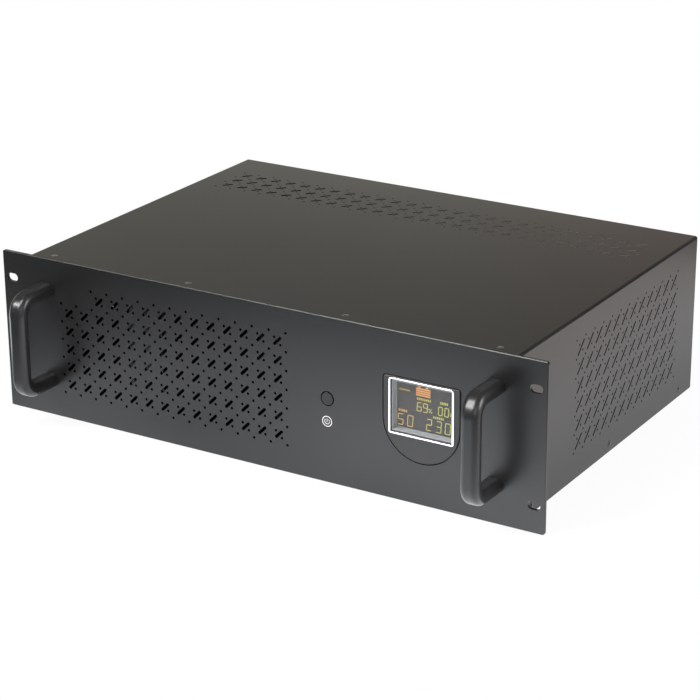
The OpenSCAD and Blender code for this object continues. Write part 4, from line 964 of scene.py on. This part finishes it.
def addContacts(s):
    low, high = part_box("network_jack")
    middle = (low + high) / 2
    clearSelection()
    bpy.ops.mesh.primitive_cube_add(size=1)
    wire = bpy.context.object
    wire.scale = (s["wire"], s["root"], s["wire"])
    settle(wire)
    pickFaces(wire, lambda f: f.normal.y > flat)
    grow(0, *s["slope"])
    grow(0, *s["tip"])
    endEdit()
    home = (rearFace - s["inside"], middle.z + s["height"])
    steps = [(i - (s["count"] - 1) / 2) * s["pitch"] for i in range(s["count"])]
    places = [Matrix.Translation((middle.x + k * s["half"] + step, *home)) for k in (-1, 1) for step in steps]
    parts = [copyAt(wire, place) for place in places]
    bpy.data.objects.remove(wire)
    contacts = joined(parts, "networkContacts")
    smooth(contacts)
    dress(contacts, "case", goldPlate)


addContacts(contactSet)

# bright shell that lines the square data port
portSet = {"wide": 8.7 * mm, "tall": 7.7 * mm, "corner": 0.6 * mm, "wall": 0.35 * mm, "deep": 12 * mm,
           "sunk": 0.1 * mm}


def addPortShell(s):
    low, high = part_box("usb_port")
    middle = (low + high) / 2
    clearSelection()
    bpy.ops.mesh.primitive_plane_add(size=1, location=(middle.x, high.y - s["deep"], middle.z),
                                     rotation=(-math.pi / 2, 0, 0))
    shell = bpy.context.object
    shell.scale = (s["wide"], s["tall"], 1)
    settle(shell)
    pickFaces(shell, lambda f: True)
    bpy.ops.mesh.bevel(offset=s["corner"], segments=3, affect="VERTICES")
    bpy.ops.mesh.inset(thickness=s["wall"])
    bpy.ops.mesh.delete(type="FACE")
    bpy.ops.mesh.select_all(action="SELECT")
    grow(0, s["deep"] - s["sunk"], 0)
    endEdit()
    smooth(shell)
    shell.name = "portShell"
    dress(shell, "case", finishes["bright_steel"])


addPortShell(portSet)
print("pieces made")

# pale floor that keeps the shadow; in reflections it is a pool of light in front of the panel, dimmer
# in a patch towards the left, with a bright strip past the left ear, and a soft ramp behind the panel
floorSet = {"size": 8.0, "drop": 0.02 * mm, "tone": 0.86, "toneSpan": 0.03, "cloud": 0.4,
            "white": 0.93, "whiteFrom": 0.3, "whiteRise": 0.4,
            "middle": (0.054, 0.023, 0), "stretch": 0.834, "lean": -0.25, "leanFrom": -0.2,
            "stops": [(0.15, (1.61, 1.68, 1.73)), (0.22, (2.23, 2.31, 2.39)), (0.34, (1.42, 1.47, 1.52)),
                      (0.45, (0.18, 0.187, 0.193)), (0.55, (0.05, 0.05, 0.052))],
            "dip": (-0.09, -0.187, 0), "dipStops": [(0, (0.475, 0.475, 0.475)), (0.143, (1, 1, 1))],
            "strip": (5.0, 5.1, 5.2), "stripX": -0.37, "stripY": -0.26, "behindScale": 5.0,
            "behind": [(0.09, (0.88, 0.88, 0.89)), (0.35, (1.22, 1.19, 1.19)), (0.75, (1.12, 1.01, 0.96))]}


def lightPath(flow, name):
    return flow.node("ShaderNodeLightPath", output=name)


# a stage plane: a shade of its own in reflections, and another look to everything else
def stagePlane(name, obj, lookOf, shadeOf):
    obj.name = name
    material, flow = startFinish(name)
    coords = objectCoords(flow)
    mirrored = flow.node("ShaderNodeEmission", None, {"Color": shadeOf(flow, coords), "Strength": 1.0})
    both = mixShader(flow, lightPath(flow, "Is Glossy Ray"), lookOf(flow, coords), mirrored)
    flow.node("ShaderNodeOutputMaterial", None, {"Surface": both})
    obj.data.materials.append(material)


def addFloor(s):
    clearSelection()
    bpy.ops.mesh.primitive_plane_add(size=s["size"], location=(0, 0, -s["drop"]))

    # matt, and white to the camera but for a share that keeps the shadow
    def lookOf(flow, coords):
        cloud = speckle(flow, coords, s["cloud"])
        tone = mixColour(flow, cloud, [s["tone"]] * 3, [s["tone"] + s["toneSpan"]] * 3)
        matt = flow.node("ShaderNodeBsdfDiffuse", None, {"Color": tone})
        white = flow.node("ShaderNodeEmission", None, {"Color": (1, 1, 1, 1), "Strength": 1.0})
        far = distance(flow, coords, (0, 0, 0)) - s["whiteFrom"]
        fade = clamped(flow, far * s["whiteRise"] + s["white"])
        return mixShader(flow, lightPath(flow, "Is Camera Ray") * fade, matt, white)

    def shadeOf(flow, coords):
        across, back = along(flow, coords, 0), along(flow, coords, 1)
        spot = flow.node("ShaderNodeCombineXYZ", None, {
            0: across + (back - s["leanFrom"]) * s["lean"], 1: back * s["stretch"]})
        pool = rampColour(flow, s["stops"], distance(flow, spot, s["middle"]))
        dip = rampColour(flow, s["dipStops"], distance(flow, coords, s["dip"]))
        strip = (across < s["stripX"]) * (back > s["stripY"])
        front = mixColour(flow, strip, mixColour(flow, 1.0, pool, dip, "MULTIPLY"), s["strip"])
        behind = rampColour(flow, s["behind"], (across - coverSide) * s["behindScale"])
        return mixColour(flow, back > panelFace, front, behind)

    stagePlane("studioFloor", bpy.context.object, lookOf, shadeOf)


addFloor(floorSet)

# the wall is there for reflections alone: light near its foot and dark above and past its right edge
wallSet = {"y": 0.5, "width": 6.0, "height": 2.5, "edge": 0.3, "beyond": (0.03, 0.03, 0.03), "tintFrom": -0.8,
           "tint": [(0.05, (1.32, 1.28, 1.2)), (0.2, (1.1, 1.07, 1.04)), (0.35, (1, 1, 1)),
                    (0.6, (0.96, 0.94, 0.92)), (0.76, (0.85, 0.76, 0.74)), (0.88, (0.77, 0.64, 0.63))],
           "stops": [(0, (1.0, 0.98, 0.88)), (0.08, (0.9, 0.88, 0.79)), (0.125, (0.3, 0.3, 0.27)),
                     (0.4, (0.15, 0.15, 0.14))]}


def addWall(s):
    clearSelection()
    bpy.ops.mesh.primitive_plane_add(size=1, location=(0, s["y"], s["height"] / 2),
                                     rotation=(math.pi / 2, 0, 0))
    plane = bpy.context.object
    plane.scale = (s["width"], s["height"], 1)
    settle(plane)

    def lookOf(flow, coords):
        return flow.node("ShaderNodeBsdfTransparent")

    def shadeOf(flow, coords):
        across, rise = along(flow, coords, 0), along(flow, coords, 2)
        shade = rampColour(flow, s["stops"], rise * (1 / s["height"]))
        tint = rampColour(flow, s["tint"], across - s["tintFrom"])
        return mixColour(flow, across > s["edge"], mixColour(flow, 1.0, shade, tint, "MULTIPLY"), s["beyond"])

    stagePlane("studioWall", plane, lookOf, shadeOf)


addWall(wallSet)

# white to the camera, dim as a light, and grey in reflections
surroundSet = {"dim": 0.3, "sky": [(0.0, (0.3, 0.3, 0.29)), (0.3, (0.2, 0.2, 0.19)), (1, (0.12, 0.12, 0.12))]}


def addSurround(s):
    world = bpy.data.worlds.new("studio")
    bpy.context.scene.world = world
    world.use_nodes = True
    world.node_tree.nodes.clear()
    flow = Flow(world.node_tree)
    rise = along(flow, flow.node("ShaderNodeTexCoord", output="Generated"), 2)

    def background(colour, strength):
        return flow.node("ShaderNodeBackground", None, {"Color": colour, "Strength": strength})

    mirrored = background(rampColour(flow, s["sky"], rise), 1.0)
    dim, full = (background((1, 1, 1, 1), strength) for strength in (s["dim"], 1.0))
    direct = mixShader(flow, lightPath(flow, "Is Camera Ray"), dim, full)
    through = mixShader(flow, lightPath(flow, "Is Transmission Ray"), direct, full)
    both = mixShader(flow, lightPath(flow, "Is Glossy Ray"), through, mirrored)
    flow.node("ShaderNodeOutputWorld", None, {"Surface": both})


addSurround(surroundSet)

# soft round lamps: place, aim, size, power and spread
lampSet = {"sideSoftbox": ((1.9, 0.35, 0.95), (0.1, 0.02, 0.06), 1.5, 46, 180),
           "overheadSoftbox": ((-0.3, 0.5, 1.9), (0, 0.02, 0.06), 1.8, 1, 180),
           "frontFill": ((1.1, -1.6, 0.9), (0.2, -0.1, 0.06), 1.2, 7, 180),
           "edgeSoftbox": ((-0.55, -0.9, 1.53), (0.2, -0.14, 0.1), 0.55, 16, 180),
           "handleSoftbox": ((-1.2, -1.1, 1.25), (-0.25, -0.18, 0.1), 0.4, 0.5, 30),
           "frontSoftbox": ((-0.55, -1.35, 1.2), (0.25, -0.18, 0.1), 0.6, 0.7, 30)}


def addLamps(s):
    for name, (place, aim, size, power, spread) in s.items():
        data = bpy.data.lights.new(name, "AREA")
        data.shape = "DISK"
        data.size = size
        data.energy = power
        data.spread = math.radians(spread)
        lamp = bpy.data.objects.new(name, data)
        bpy.context.scene.collection.objects.link(lamp)
        turn = (Vector(aim) - Vector(place)).to_track_quat("-Z", "Y").to_matrix().to_4x4()
        lamp.matrix_world = Matrix.Translation(place) @ turn


addLamps(lampSet)
bpy.context.scene.view_settings.view_transform = "Standard"
print("stage set")
